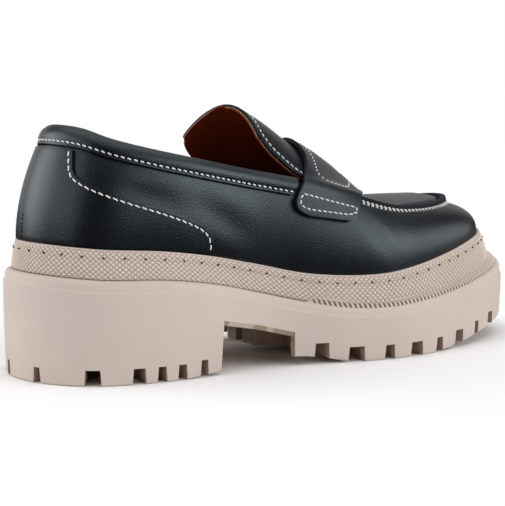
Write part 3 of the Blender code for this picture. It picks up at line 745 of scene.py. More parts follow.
def roof(x, across):
    """Outer face of the roof between the walls: across -1 at the outer edge, 1 at the inner edge."""
    outer, inner = wall_pair(x)
    part = ((across + 1) / 2)[:, None]
    point = outer * (1 - part) + inner * part
    away = np.where(across > CREST_SHIFT, (across - CREST_SHIFT) / (1 - CREST_SHIFT),
                    (CREST_SHIFT - across) / (1 + CREST_SHIFT))
    rise = np.maximum(ROOF["crest"](x) - point[:, 2], 0.0)
    point[:, 2] += rise * np.maximum(1 - away ** 2, 0.0) ** ROOF["narrow"](x)
    return point


def across_at(x, y):
    """The across value at which the roof at x passes y."""
    outer, inner = (side[:, 1] for side in wall_pair(x))
    return 2 * (y - outer) / (inner - outer) - 1


def over_instep(x, across):
    """The surface that the strap lies on: roof in the middle, walls beyond its edges."""
    outer, inner = wall_pair(x, 1 - STRAP_WALL_CLIMB * np.maximum(np.abs(across) - 1, 0.0))
    point = roof(x, np.clip(across, -1.0, 1.0))
    point = np.where((across < -1.0)[:, None], outer, point)
    return np.where((across > 1.0)[:, None], inner, point)


def unit(vectors):
    """Vectors at length one."""
    return vectors / np.linalg.norm(vectors, axis=-1, keepdims=True)


def grid_normals(rows):
    """Normals of a grid of points; columns run left to right and rows upward seen from outside."""
    return unit(np.cross(np.gradient(rows, axis=1), np.gradient(rows, axis=0)))


def raised(rows, distance):
    """A grid of points moved along its own normals."""
    rows = np.asarray(rows, float)
    return rows + grid_normals(rows) * np.broadcast_to(distance, rows.shape[:2])[:, :, None]


# Mesh tools

def deselect_all():
    """Leaves nothing selected."""
    bpy.ops.object.select_all(action="DESELECT")


def pick(*pieces):
    """Selects only these pieces and makes the first one active."""
    deselect_all()
    for piece in pieces:
        piece.select_set(True)
    bpy.context.view_layer.objects.active = pieces[0]


def edit(piece, operator, **settings):
    """Runs a mesh operator on all of one piece."""
    pick(piece)
    bpy.ops.object.mode_set(mode="EDIT")
    bpy.ops.mesh.select_all(action="SELECT")
    operator(**settings)
    bpy.ops.object.mode_set(mode="OBJECT")
    return piece


def merge_points(piece):
    """Closes seams by joining points that lie together."""
    return edit(piece, bpy.ops.mesh.remove_doubles, threshold=MERGE)


def face_outward(piece):
    """Turns the faces of a closed piece outward."""
    return edit(piece, bpy.ops.mesh.normals_make_consistent, inside=False)


def mark(piece, name, values, domain="POINT"):
    """Stores a value at each point or face of a piece for its material."""
    layer = piece.data.attributes.new(name, "FLOAT", domain)
    layer.data.foreach_set("value", np.asarray(values, np.float32))


def read_places(items, kind):
    """Places of a mesh's points or faces as an array."""
    flat = np.empty(len(items) * 3, np.float32)
    items.foreach_get(kind, flat)
    return flat.reshape(-1, 3)


def laid_grid(name, rows, **marks):
    """A grid primitive laid on rows of places in millimetres, with any rows of marks for its material."""
    rows = np.asarray(rows, float)
    count, width = rows.shape[:2]
    deselect_all()
    bpy.ops.mesh.primitive_grid_add(x_subdivisions=width - 1, y_subdivisions=count - 1, size=2.0)
    piece = bpy.context.object
    piece.name = name
    flat = read_places(piece.data.vertices, "co")
    column = np.rint((flat[:, 0] + 1) / 2 * (width - 1)).astype(int)
    row = np.rint((flat[:, 1] + 1) / 2 * (count - 1)).astype(int)
    piece.data.vertices.foreach_set("co", (rows[row, column] * MM).astype(np.float32).ravel())
    piece.data.update()
    for label, values in marks.items():
        mark(piece, label, np.asarray(values)[row, column])
    return piece


def joined(name, pieces):
    """Several pieces as one, closed where they meet."""
    pick(*pieces)
    bpy.ops.object.join()
    pieces[0].name = name
    return merge_points(pieces[0])


def apply_modifier(piece, kind, **settings):
    """Adds a modifier with its settings and applies it."""
    pick(piece)
    modifier = piece.modifiers.new(kind.lower(), kind)
    for name, value in settings.items():
        setattr(modifier, name, value)
    bpy.ops.object.modifier_apply(modifier=modifier.name)


def round_edges(piece, width):
    """Rounds the sharp edges of a piece."""
    apply_modifier(piece, "BEVEL", width=width * MM, segments=BEVEL_SEGMENTS, limit_method="ANGLE",
                   angle_limit=math.radians(SMOOTH), use_clamp_overlap=True)


def thicken(piece, thickness, bevel=0.0):
    """Gives a sheet its thickness, outward for a positive one, and rounds its edges if asked."""
    apply_modifier(piece, "SOLIDIFY", thickness=abs(thickness) * MM, offset=1.0 if thickness > 0 else -1.0)
    if bevel:
        round_edges(piece, bevel)
    return piece


def hand_over(piece, material, slot, *nodes, smooth=SMOOTH):
    """Shades a finished piece, gives it its material and sets it on the shoe."""
    pick(piece)
    bpy.ops.object.shade_smooth_by_angle(angle=math.radians(smooth))
    piece.data.materials.clear()
    piece.data.materials.append(material)
    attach(piece, "root")
    if nodes:
        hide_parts(*nodes)


def array_mesh(name, points, faces):
    """A piece from arrays of points in millimetres and faces."""
    data = bpy.data.meshes.new(name)
    data.from_pydata((np.asarray(points) * MM).tolist(), [], faces)
    data.validate()
    piece = bpy.data.objects.new(name, data)
    bpy.context.scene.collection.objects.link(piece)
    return piece


def mark_edges(piece, grid):
    """Marks the faces of a sheet's cut edges, which stand across the normals of its grid."""
    normals = grid_normals(grid).reshape(-1, 3)
    tree = KDTree(len(normals))
    for k, point in enumerate(np.asarray(grid).reshape(-1, 3) * MM):
        tree.insert(point, k)
    tree.balance()
    facing = [abs(face.normal.dot(Vector(normals[tree.find(face.center)[1]])))
              for face in piece.data.polygons]
    mark(piece, "edge", np.array(facing) < EDGE_TURN, "FACE")


# Materials

def new_material(name):
    """A material and its shader."""
    material = bpy.data.materials.new(name)
    material.use_nodes = True
    return material, material.node_tree.nodes["Principled BSDF"]


def add_node(owner, kind, **settings):
    """A node with its settings: sockets by name, properties otherwise."""
    node = owner.node_tree.nodes.new("ShaderNode" + kind)
    for name, value in settings.items():
        label = name.replace("_", " ").title()
        if label in node.inputs:
            node.inputs[label].default_value = value
        else:
            setattr(node, name, value)
    return node


def link(source, output, target, socket):
    """Joins an output of one node to a socket of another in its tree."""
    source.id_data.links.new(source.outputs[output], target.inputs[socket])


def texture(material, kind, **settings):
    """A texture on object coordinates."""
    node = add_node(material, "Tex" + kind, **settings)
    link(add_node(material, "TexCoord"), "Object", node, "Vector")
    return node


def noise(material, scale, detail):
    """A cloudy texture on object coordinates."""
    return texture(material, "Noise", scale=scale, detail=detail)


def set_gloss(shader, roughness, specular):
    """Sets how matte a shader is and how strongly it mirrors."""
    shader.inputs["Roughness"].default_value = roughness
    shader.inputs["Specular IOR Level"].default_value = specular


def bump_from(material, shader, source, output, strength, distance, below=None):
    """A bump on the shader from a height, over another bump if given."""
    bump = add_node(material, "Bump", strength=strength, distance=distance)
    link(source, output, bump, "Height")
    if below is not None:
        link(below, "Normal", bump, "Normal")
    link(bump, "Normal", shader, "Normal")
    return bump


def shades(material, source, span, colour, shares, target, socket="Base Color"):
    """Gives a target darker and lighter shares of a colour over a span of a texture's values."""
    ramp = add_node(material, "ValToRGB")
    for element, position, share in zip(ramp.color_ramp.elements, span, shares):
        element.position = position
        element.color = [min(c * share, 1.0) for c in colour[:3]] + [1.0]
    link(source, "Fac", ramp, "Fac")
    link(ramp, "Color", target, socket)


def leather(name, colour, tint, roughness, grain, specular):
    """Grained leather: cells of the hide, finer pores, gloss that varies, and matte cut edges."""
    material, shader = new_material(name)
    cells = texture(material, "Voronoi", scale=LEATHER_CELLS, feature="SMOOTH_F1")
    pores = noise(material, *LEATHER_PORES)
    cloud = noise(material, *LEATHER_CLOUD)
    shades(material, cloud, LEATHER_SPAN, colour, LEATHER_SHADES, shader)
    low, high = (roughness + change for change in LEATHER_GLOSS)
    gloss = add_node(material, "MapRange", to_min=low, to_max=high)
    link(cloud, "Fac", gloss, "Value")
    cut = add_node(material, "Attribute", attribute_name="edge")
    matte = add_node(material, "Mix")
    link(cut, "Fac", matte, MIX_FACTOR)
    link(gloss, "Result", matte, MIX_NUMBERS[0])
    matte.inputs[MIX_NUMBERS[1]].default_value = EDGE_ROUGHNESS
    link(matte, 0, shader, "Roughness")
    shader.inputs["Specular IOR Level"].default_value = specular
    shader.inputs["Specular Tint"].default_value = tint
    hide = bump_from(material, shader, cells, "Distance", grain, HIDE_BUMP)
    bump_from(material, shader, pores, "Fac", grain * PORE_SHARE, PORE_BUMP, below=hide)
    return material


def moulded_rubber(name, colour, recessed, narrow):
    """Rubber with a faint cloud, a fine matte skin and painted shade darkening the recesses where marked."""
    material, shader = new_material(name)
    cloud = noise(material, *RUBBER_CLOUD)
    skin = noise(material, *RUBBER_SKIN)
    depth = add_node(material, "Attribute", attribute_name="recess")
    valley = add_node(material, "Math", operation="POWER")
    valley.inputs[1].default_value = narrow
    link(depth, "Fac", valley, 0)
    # Painted shade: marked recesses and valleys mix the colour toward a darker one
    deep = add_node(material, "Mix", data_type="RGBA")
    link(valley, "Value", deep, MIX_FACTOR)
    shades(material, cloud, RUBBER_SPAN, colour, RUBBER_SHADES, deep, MIX_COLOURS[0])
    deep.inputs[MIX_COLOURS[1]].default_value = recessed
    link(deep, MIX_COLOUR_OUT, shader, "Base Color")
    set_gloss(shader, RUBBER_ROUGHNESS, RUBBER_SPECULAR)
    bump_from(material, shader, skin, "Fac", SKIN_STRENGTH, SKIN_BUMP)
    return material


def thread(name, colour, sheen=THREAD_SHEEN):
    """Twisted thread."""
    material, shader = new_material(name)
    twist = texture(material, "Wave", scale=THREAD_TWIST, distortion=TWIST_WOBBLE,
                    bands_direction="DIAGONAL")
    shades(material, twist, THREAD_SPAN, colour, THREAD_SHADES, shader)
    set_gloss(shader, THREAD_ROUGHNESS, THREAD_SPECULAR)
    shader.inputs["Sheen Weight"].default_value = sheen
    bump_from(material, shader, twist, "Fac", TWIST_STRENGTH, TWIST_BUMP)
    return material


def cut_edge(name):
    """Raw edge of the lining leather."""
    material, shader = new_material(name)
    fibre = noise(material, *EDGE_FIBRES)
    shades(material, fibre, EDGE_SPAN, CUT_EDGE_TAN, EDGE_SHADES, shader)
    shader.inputs["Roughness"].default_value = CUT_EDGE_ROUGHNESS
    return material


# Thread work

def lengths_of(points):
    """Length along a path at each of its points."""
    run = np.linalg.norm(np.diff(points, axis=0), axis=1)
    return np.concatenate([[0.0], np.cumsum(run)])


def along(points, values, lengths):
    """Values of a path at lengths along it."""
    start = lengths_of(points)
    return np.column_stack([np.interp(lengths, start, column) for column in values.T])


def spread(points, pitch):
    """Lengths along a path at the middles of its even stitches, and the distance between these."""
    total = lengths_of(points)[-1]
    count = max(int(round(total / pitch)), 1)
    return (np.arange(count) + 0.5) * total / count, total / count


def thread_mesh(name, starts, ends, normals, radius):
    """Short bowed threads from start to end, with their ends sunk in."""
    parts = np.array(THREAD_PARTS)[None, :, None]
    centre = starts[:, None] * (1 - parts) + ends[:, None] * parts
    centre = centre + normals[:, None] * (np.array(THREAD_RISE) * radius)[None, :, None]
    side = unit(np.cross(normals, ends - starts))
    angle = np.linspace(0.0, 2 * math.pi, THREAD_SIDES, endpoint=False)
    ring = np.cos(angle)[None, :, None] * normals[:, None] + np.sin(angle)[None, :, None] * side[:, None]
    girth = (np.array(THREAD_GIRTH) * radius)[None, :, None, None]
    points = (centre[:, :, None] + ring[:, None] * girth).reshape(-1, 3)
    rings = len(THREAD_PARTS)
    faces = []
    for first in range(0, len(points), rings * THREAD_SIDES):
        for r in range(rings - 1):
            low = first + r * THREAD_SIDES
            for s in range(THREAD_SIDES):
                t = (s + 1) % THREAD_SIDES
                faces.append((low + s, low + t, low + THREAD_SIDES + t, low + THREAD_SIDES + s))
        faces.append(tuple(first + s for s in reversed(range(THREAD_SIDES))))
        last = first + (rings - 1) * THREAD_SIDES
        faces.append(tuple(last + s for s in range(THREAD_SIDES)))
    return face_outward(array_mesh(name, points, faces))


def lay_threads(name, starts, ends, normals, radius, material, slot="leather"):
    """Hands over threads from start to end."""
    piece = thread_mesh(name, starts, ends, normals, radius)
    hand_over(piece, material, slot, smooth=SMOOTH_THREAD)


def sew(name, points, normals, material, pitch=STITCH_PITCH, gap=STITCH_GAP, radius=STITCH_RADIUS,
        slant=STITCH_SLANT):
    """A row of stitches along a path on a surface."""
    middle, spacing = spread(points, pitch)
    half = (spacing - gap) / 2
    starts, ends = along(points, points, middle - half), along(points, points, middle + half)
    up = unit(along(points, normals, middle))
    side = unit(np.cross(up, ends - starts)) * slant
    lay_threads(name, starts - side, ends + side, up, radius, material)


def on_wall(share, climb, lift):
    """Places on the upper's wall, lifted off it, and the wall's normals there."""
    around = wall(share + WALL_PROBE, climb) - wall(share - WALL_PROBE, climb)
    upward = wall(share, np.minimum(climb + WALL_PROBE, 1.0)) - wall(share, climb - WALL_PROBE)
    normal = unit(np.cross(around, upward))
    return wall(share, climb) + normal * lift, normal


def on_strap(across, x, lift):
    """Places on the strap's bed, lifted off it, and its normals."""
    forward = over_instep(x + STRAP_PROBE, across) - over_instep(x - STRAP_PROBE, across)
    sideways = over_instep(x, across + STRAP_PROBE) - over_instep(x, across - STRAP_PROBE)
    normal = unit(np.cross(forward, sideways))
    return over_instep(x, across) + normal * lift, normal


def inset_path(points, normals, distance):
    """A path moved sideways over its surface, to the right of its run."""
    run = unit(np.gradient(points, axis=0))
    return points + unit(np.cross(run, normals)) * np.reshape(distance, (-1, 1))


# Sole

def ring_shares(steps):
    """Shares of a full ring, closed on itself, evenly spaced in length."""
    return share_at(np.linspace(0.0, EDGE_START[-1], 2 * steps + 1))


def rings_of(steps, levels):
    """Rings round the outline, one for each inset and height that the levels give over x."""
    points, inward = edge(ring_shares(steps))
    return [place(points, inward, inset, z) for inset, z in levels(points[:, 0])]


def capped_loft(name, rings):
    """A closed body between rings, capped below and above."""
    half = len(rings[0]) // 2 + 1
    low, high = rings[0], rings[-1]
    grids = (rings, [low[::-1][:half], low[:half]], [high[:half], high[::-1][:half]])
    return joined(name, [laid_grid(name, grid) for grid in grids])


def closed_prism(name, sections):
    """A closed body between sections of equal corners."""
    tube = merge_points(laid_grid(name, [list(row) + [row[0]] for row in sections]))
    edit(tube, bpy.ops.mesh.fill_holes, sides=0)
    return face_outward(tube)


def arch_cutter():
    """A prism through the arch between heel and forefoot."""
    sections = [[(x, side * ARCH_REACH, z - ARCH_CHAMFER) for _, x, z in ARCH_ROWS]
                for side in (1.0, -1.0)]
    return closed_prism("arch_cutter", sections)


def arch_edge_cutter(inner):
    """A wedge that slopes off the lower edge of one side over the arch."""
    roof_x, roof_z = zip(*[row[1:] for row in ARCH_ROWS[1:-1]])
    x = np.linspace(roof_x[0], roof_x[-1], ARCH_STEPS)
    points, inward = edge(share_of_edge(x, inner))
    height = np.interp(x, roof_x, roof_z)
    reach = 2 * ARCH_CHAMFER
    corners = [place(points, inward, inset, height + rise)
               for inset, rise in ((-ARCH_PROUD, ARCH_PROUD), (reach, -reach), (-ARCH_PROUD, -reach))]
    return closed_prism("arch_edge_cutter", np.array(corners).transpose(1, 0, 2).tolist())


def notch_cutter(share, width, reach):
    """A box across the tread edge, opening toward the floor."""
    (point,), (inward,) = edge(np.array([share]))
    across = np.array([-inward[1], inward[0]])
    top = float(tread_height(point[0])) + NOTCH_DEPTH
    sections = []
    for z, half in ((-NOTCH_CLEARANCE, width / 2 + NOTCH_FLARE), (top, width / 2)):
        corners = ((-NOTCH_CLEARANCE, -half), (reach, -half), (reach, half), (-NOTCH_CLEARANCE, half))
        sections.append([(*(point + inward * depth + across * side), z) for depth, side in corners])
    return closed_prism("notch_cutter", sections)


def channel_cutter(start, end, y, width, depth):
    """A straight channel or recess under the tread."""
    low, high = y - width / 2, y + width / 2
    corners = ((start, low), (end, low), (end, high), (start, high))
    sections = [[(*corner, z) for corner in corners] for z in (-NOTCH_CLEARANCE, depth)]
    return closed_prism("channel_cutter", sections)


def tread_cutters():
    """All that is cut from under the outsole."""
    cutters = [notch_cutter(*row) for row in END_NOTCH_ROWS]
    for x, width, reach in NOTCH_ROWS:
        cutters += [notch_cutter(float(share_of_edge(x, inner)), width, reach) for inner in (False, True)]
    cutters += [channel_cutter(*row) for row in CHANNEL_ROWS]
    return cutters + [arch_cutter(), arch_edge_cutter(False), arch_edge_cutter(True)]


def outsole_levels(x):
    """Inset and height of each ring up the side of the outsole."""
    tread, groove, ledge = tread_height(x), SOLE["groove"](x), SOLE["ledge"](x)
    levels = [(TREAD_DRAFT + TREAD_ROUND, tread), (TREAD_DRAFT, tread + TREAD_ROUND)]
    for part in SIDE_PARTS:
        levels.append((TREAD_DRAFT * (1 - part) ** 2, tread + (groove - tread) * part))
    levels += [(0.0, groove - GROOVE_HALF), (GROOVE_DEEP, groove), (STEP, groove + GROOVE_HALF)]
    for angle in np.linspace(0.0, math.pi / 2, ROUND_STEPS):
        inset = STEP + (LEDGE_EDGE - STEP) * (1 - math.cos(angle))
        levels.append((inset, ledge - SHOULDER_DROP * (1 - math.sin(angle))))
    return levels


def mark_recesses(outsole):
    """Marks the faces inside arch, notches and channels for painted shade, which darkens them."""
    centres = read_places(outsole.data.polygons, "center") / MM
    rim = edge(ring_shares(FINE_STEPS))[0]
    inset = np.array([np.linalg.norm(rim - centre[:2], axis=1).min() for centre in centres])
    low = centres[:, 2] < SOLE["groove"](centres[:, 0]) - RECESS_DROP
    mark(outsole, "recess", (inset > RECESS_INSET) & low, "FACE")


def make_outsole(rubber):
    """Rubber unit with its arch, notches and channels cut out."""
    outsole = capped_loft("outsole_rubber", rings_of(SOLE_STEPS, outsole_levels))
    cutters = tread_cutters()
    home = bpy.data.collections.new("tread_cutters")
    bpy.context.scene.collection.children.link(home)
    for cutter in cutters:
        home.objects.link(cutter)
    apply_modifier(outsole, "BOOLEAN", operation="DIFFERENCE", solver="EXACT",
                   operand_type="COLLECTION", collection=home)
    for cutter in cutters:
        bpy.data.objects.remove(cutter)
    bpy.data.collections.remove(home)
    mark_recesses(outsole)
    hand_over(outsole, rubber, "rubber", "outsole", smooth=SMOOTH_OUTSOLE)


def welt_profile(x, part):
    """Inset and height on the welt's outer face; part runs from its foot to under its lip."""
    foot, top = SOLE["ledge"](x) + GAP, SOLE["welt_top"](x) - LIP_HIGH
    lean = SOLE["welt_lean"](x) * (WELT_BOW * part + (1 - WELT_BOW) * part ** 2)
    return SOLE["ledge_inset"](x) + lean, foot + (top - foot) * part


def welt_seam():
    """Path of the seam through the welt, and the outward normals along it."""
    points, inward = edge(ring_shares(FINE_STEPS))
    x = points[:, 0]
    span = SOLE["welt_top"](x) - LIP_HIGH - SOLE["ledge"](x) - GAP
    inset, height = welt_profile(x, 1 - (WELT_SEAM_DROP - LIP_HIGH) / span)
    outward = np.column_stack([-inward, np.full(len(x), WELT_SEAM_TILT)])
    return place(points, inward, inset, height), unit(outward)


def knurl_faces():
    """Triangles of the knurl, with their diagonals turned from pyramid to pyramid."""
    columns = KNURL_COLUMNS
    faces = []
    for j in range(KNURL_ROWS - 1):
        for i in range(columns):
            a, b = j * columns + i, j * columns + (i + 1) % columns
            c, d = b + columns, a + columns
            faces += [(a, b, d), (b, c, d)] if (i + j) % 2 == 0 else [(a, b, c), (a, c, d)]
    return faces


def make_knurl(rubber):
    """Knurled band: pyramids on a diamond grid, with painted shade in the valleys between them."""
    points, inward = edge(ring_shares(KNURL_COLUMNS // 2)[:-1])
    rows, recess = [], []
    for j, part in enumerate(np.linspace(0.0, 1.0, KNURL_ROWS)):
        inset, height = welt_profile(points[:, 0], part)
        apex = (np.arange(KNURL_COLUMNS) + j) % 2 == 0
        inside = 0 < j < KNURL_ROWS - 1
        rows.append(place(points, inward, inset - np.where(apex & inside, KNURL_HIGH, 0.0), height))
        # Valley points get painted shade, apexes none
        recess.append(np.where(apex, 0.0, 1.0))
    band = array_mesh("welt_knurl", np.concatenate(rows), knurl_faces())
    mark(band, "recess", np.concatenate(recess))
    hand_over(band, rubber, "rubber", smooth=SMOOTH_KNURL)


def welt_levels(x):
    """Inset and height of each ring of the welt: over its lip, down its inside, back behind the knurl."""
    top = SOLE["welt_top"](x)
    outer, under = welt_profile(x, 1.0)
    foot_outer, foot = welt_profile(x, 0.0)
    inner = upper_inset(x) - GAP
    return [(outer + inset, under + rise) for inset, rise in LIP_ROWS] + [
        (inner - LIP_INNER_ROUND, top),
        (inner, top - LIP_INNER_DROP),
        (inner, foot),
        (foot_outer + WELT_BACK, foot),
        (foot_outer + WELT_BACK, foot + WELT_BACK_RISE),
        (outer + WELT_BACK, under - WELT_BACK_DROP),
        (outer, under),
    ]


def make_welt(rubber):
    """Smooth lip over the knurl, and the welt's top and inner faces."""
    lip = merge_points(laid_grid("welt_lip", rings_of(KNURL_COLUMNS // 4, welt_levels)))
    hand_over(lip, rubber, "rubber", "welt")


def sew_welt(beige, hole_shade):
    """Beige thread from hole to hole round the welt, and dark stubs of painted shade that stand for the
    holes it goes into.
    """
    path, normals = welt_seam()
    middle, pitch = spread(path, WELT_SEAM_PITCH)
    reach = middle - pitch / 2
    starts = along(path, path, reach + WELT_THREAD_END)
    ends = along(path, path, reach + pitch - WELT_THREAD_END)
    up = unit(along(path, normals, middle))
    lift = up * (KNURL_HIGH * WELT_THREAD_LIFT)
    lay_threads("welt_thread", starts + lift, ends + lift, up, WELT_THREAD, beige, "rubber")
    up = unit(along(path, normals, reach))
    hole = along(path, path, reach) + up * (KNURL_HIGH * WELT_HOLE_LIFT)
    lean = unit(unit(ends - starts) + np.array([0.0, 0.0, WELT_HOLE_LEAN])) * (WELT_HOLE_LONG / 2)
    # Dark stubs at each hole are painted shade standing for the hole
    lay_threads("welt_holes", hole - lean, hole + lean, up, WELT_HOLE_THICK, hole_shade, "rubber")


def make_flutes(rubber):
    """Fluted cove between welt and ledge, from the ball round the toe, with painted shade between its ribs.
    """
    start, end = (float(length_at(share_of_edge(FLUTE_START_X, inner))) for inner in (False, True))
    count = int((end - start) / FLUTE_PITCH)
    turns = np.linspace(0.0, count, count * FLUTE_COLUMNS + 1)
    points, inward = edge(share_at(start + turns * (end - start) / count))
    foot, ledge = SOLE["ledge_inset"](points[:, 0]), SOLE["ledge"](points[:, 0])
    ease = np.clip(np.minimum(turns, count - turns) / FLUTE_EASE, 0.0, 1.0)
    middle, swing = FLUTE_RIB
    rows, recess = [], []
    for part in np.linspace(0.0, 1.0, FLUTE_ROWS):
        rib = np.clip(middle + swing * np.cos(2 * math.pi * (turns + FLUTE_SLANT * part)), 0.0, 1.0)
        out = FLUTE_DEEP * rib * math.sin(math.pi * min(part * FLUTE_BOW, 1.0)) * ease
        inset = LEDGE_EDGE - FLUTE_SINK + (foot - LEDGE_EDGE + FLUTE_TUCK) * part
        height = ledge - FLUTE_SINK + (2 * FLUTE_SINK + FLUTE_HIGH * ease) * part
        rows.append(place(points, inward, inset - out * FLUTE_OUT, height + out * FLUTE_UP))
        # Painted shade between the ribs, fading toward the cove's ends
        recess.append((1 - rib) * ease)
    flutes = laid_grid("ledge_flutes", rows, recess=recess)
    hand_over(flutes, rubber, "rubber", smooth=SMOOTH_FLUTES)


def insole_levels(x):
    """Inset and height of each ring of the footbed."""
    foot, top = SOLE["ledge"](x) + GAP, SOLE["welt_top"](x) - INSOLE_DROP
    side = upper_inset(x) + WALL_THICK + INSOLE_CLEAR
    levels = [(side, foot)]
    for angle in np.linspace(0.0, math.pi / 2, INSOLE_STEPS):
        levels.append((side + INSOLE_ROUND * (1 - math.cos(angle)),
                       top - INSOLE_ROUND * (1 - math.sin(angle))))
    return levels


def make_insole(lining):
    """Footbed inside the upper."""
    insole = capped_loft("insole_sock", rings_of(SOLE_STEPS, insole_levels))
    hand_over(insole, lining, "lining", "insole", smooth=SMOOTH_INSOLE)


# Upper

def crease_fall(points):
    """How far the creases sink each point of the upper, in millimetres."""
    fall = np.zeros(points.shape[:-1])
    for side, x, z, degrees, reach, wide, deep in CREASE_ROWS:
        on_side = points[..., 1] < 0 if side == "outer" else points[..., 1] > 0
        cos, sin = math.cos(math.radians(degrees)), math.sin(math.radians(degrees))
        dx, dz = points[..., 0] - x, points[..., 2] - z
        run = (dx * cos + dz * sin) / reach
        off = (dz * cos - dx * sin) / wide
        ridge = CREASE_RIDGE * np.exp(-run ** 2 - (np.abs(off) - CREASE_RIDGE_OFF) ** 2)
        fall += np.where(on_side, deep * (np.exp(-run ** 2 - off ** 2) - ridge), 0.0)
    return fall


def upper_shares():
    """Shares round the upper with a point at the throat on each side, heel back first."""
    outer, inner = top_shares(THROAT_X)
    stretches = ((0.0, outer, REAR_STEPS), (outer, 1.0, FRONT_STEPS), (1.0, inner, FRONT_STEPS),
                 (inner, 2.0, REAR_STEPS))
    runs = [np.linspace(start, end, steps + 1)[1:] for start, end, steps in stretches]
    return np.concatenate([[0.0], *runs])


def wall_grid(shares):
    """The wall from under the welt to its top edge, with its creases."""
    points, inward = edge(shares)
    x = points[:, 0]
    foot = place(points, inward, upper_inset(x), SOLE["ledge"](x) + GAP)
    rows = np.array([foot] + [wall(shares, climb) for climb in np.linspace(0.0, 1.0, WALL_ROWS_FINE)])
    fall = crease_fall(rows)
    fall[0] = fall[-1] = 0.0
    return raised(rows, -fall)


def apron_dip(x, inset):
    """How far the apron sinks inside its raised seam."""
    beyond_start = np.clip((x - SEAM_START_X) / APRON_DIP_EASE, 0.0, 1.0)
    return APRON_DIP * beyond_start * np.exp(-((inset - APRON_DIP_INSET) / APRON_DIP_WIDE) ** 2)


def apron_grid(top):
    """The apron between the two halves of the wall's top edge."""
    outer = top[REAR_STEPS:REAR_STEPS + FRONT_STEPS + 1]
    inner = top[REAR_STEPS + FRONT_STEPS:REAR_STEPS + 2 * FRONT_STEPS + 1][::-1]
    rows = []
    for across in np.linspace(-1.0, 1.0, APRON_ROWS):
        part = (across + 1) / 2
        row = outer * (1 - part) + inner * part
        if abs(across) < 1.0:
            x = row[:, 0]
            low, high = (side[:, 2] for side in wall_pair(x))
            row[:, 2] += roof(x, np.full(len(x), across))[:, 2] - low * (1 - part) - high * part
            row[:, 2] -= apron_dip(x, (1 - abs(across)) * (inner - outer)[:, 1] / 2)
        rows.append(row)
    return rows


def make_upper(black):
    """Walls and apron as one leather shell."""
    walls = wall_grid(upper_shares())
    grids = (walls, apron_grid(walls[-1]))
    upper = joined("upper_leather", [laid_grid("upper_leather", grid) for grid in grids])
    hand_over(thicken(upper, -WALL_THICK), black, "leather", "upper")


def make_lining(lining):
    """Lining of the walls, from the footbed to under the binding."""
    share = ring_shares(LINING_STEPS)
    clear = inward_at(share) * (WALL_THICK + LINING_CLEAR)
    top = climb_below(share, LINING_DROP)
    rows = [wall(share, top * part) + clear for part in np.linspace(0.0, 1.0, LINING_ROW_COUNT)]
    piece = merge_points(laid_grid("wall_lining", rows))
    hand_over(thicken(piece, -LINING_THICK), lining, "lining")


def binding_shares(fall):
    """Shares round the collar from strap to strap: fall is 0 at its edge and 1 at the binding's foot."""
    outer, inner = top_shares(BINDING_END_TOP + (BINDING_END_LOW - BINDING_END_TOP) * fall)
    return (inner + (2.0 + outer - inner) * np.linspace(0.0, 1.0, BINDING_STEPS + 1)) % 2.0


def binding_row(fall):
    """One row of the binding on the wall."""
    share = binding_shares(fall)
    return wall(share, climb_below(share, BINDING_DROP * fall))


def make_binding(black):
    """Padded band folded over the collar edge."""
    falls = np.linspace(1.0, 0.0, BINDING_FALLS)
    grid = np.array([binding_row(fall) for fall in falls])
    swell = np.clip((1 - falls) * (1 + BINDING_PUFF_START) - BINDING_PUFF_START, 0.0, 1.0)
    puff = BINDING_PUFF * np.sin(np.pi * swell) ** BINDING_PUFF_POWER
    rows = list(raised(grid, (BINDING_CLEAR + puff)[:, None])[:-1])
    share = binding_shares(0.0)
    across = inward_at(share) * (WALL_THICK + BINDING_INSIDE)
    for angle in np.linspace(0.0, math.pi, ROUND_STEPS):
        rise = np.array([0.0, 0.0, BINDING_CROWN * math.sin(angle)])
        rows.append(grid[-1] + across * (1 - math.cos(angle)) / 2 + rise)
    rows.append(wall(share, climb_below(share, BINDING_INNER_DROP)) + across)
    binding = thicken(laid_grid("collar_binding", rows), BINDING_THICK, BINDING_BEVEL)
    hand_over(binding, black, "leather", "binding")


def sew_collar(white):
    """Stitching along the binding."""
    share = binding_shares(COLLAR_STITCH_DROP / BINDING_DROP)
    lift = BINDING_CLEAR + BINDING_THICK + STITCH_LIFT
    sew("collar_stitches", *on_wall(share, climb_below(share, COLLAR_STITCH_DROP), lift), white)


def counter_edge():
    """Shares and heights of the counter's edge, from the inner end round the heel to the outer end."""
    back = np.linspace(0.0, float(share_of_edge(COUNTER_BACK_X)), COUNTER_BACK_STEPS)
    back_top = WALL["top"](edge_x(back)) - BINDING_DROP - COUNTER_BELOW
    knots = np.arange(len(COUNTER_ROWS))
    between = np.linspace(0.0, knots[-1], COUNTER_SIDE_STEPS)
    x, heights = (through(knots, column)(between) for column in np.array(COUNTER_ROWS).T)
    share = np.concatenate([back, share_of_edge(x)])
    top = np.concatenate([back_top, heights])
    return np.concatenate([2.0 - share[:0:-1], 2.0 + share]) % 2.0, np.concatenate([top[:0:-1], top])


def make_counter(black):
    """Heel overlay with a short dart at the back."""
    share, top = counter_edge()
    foot = SOLE["welt_top"](edge_x(share)) + COUNTER_FOOT
    grid = np.array([wall(share, climb_to(share, foot + (top - foot) * part))
                     for part in np.linspace(0.0, 1.0, COUNTER_ROW_COUNT)])
    rise = np.clip(1 - (grid[..., 2] - foot) / DART_HIGH, 0.0, 1.0)
    dart = DART_DEEP * rise ** DART_FADE * np.exp(-(grid[..., 1] / DART_WIDE) ** 2)
    grid = raised(grid, COUNTER_CLEAR - np.where(grid[..., 0] < DART_FRONT_X, dart, 0.0))
    counter = thicken(laid_grid("heel_counter", grid), COUNTER_THICK, COUNTER_BEVEL)
    hand_over(counter, black, "leather", "counter")


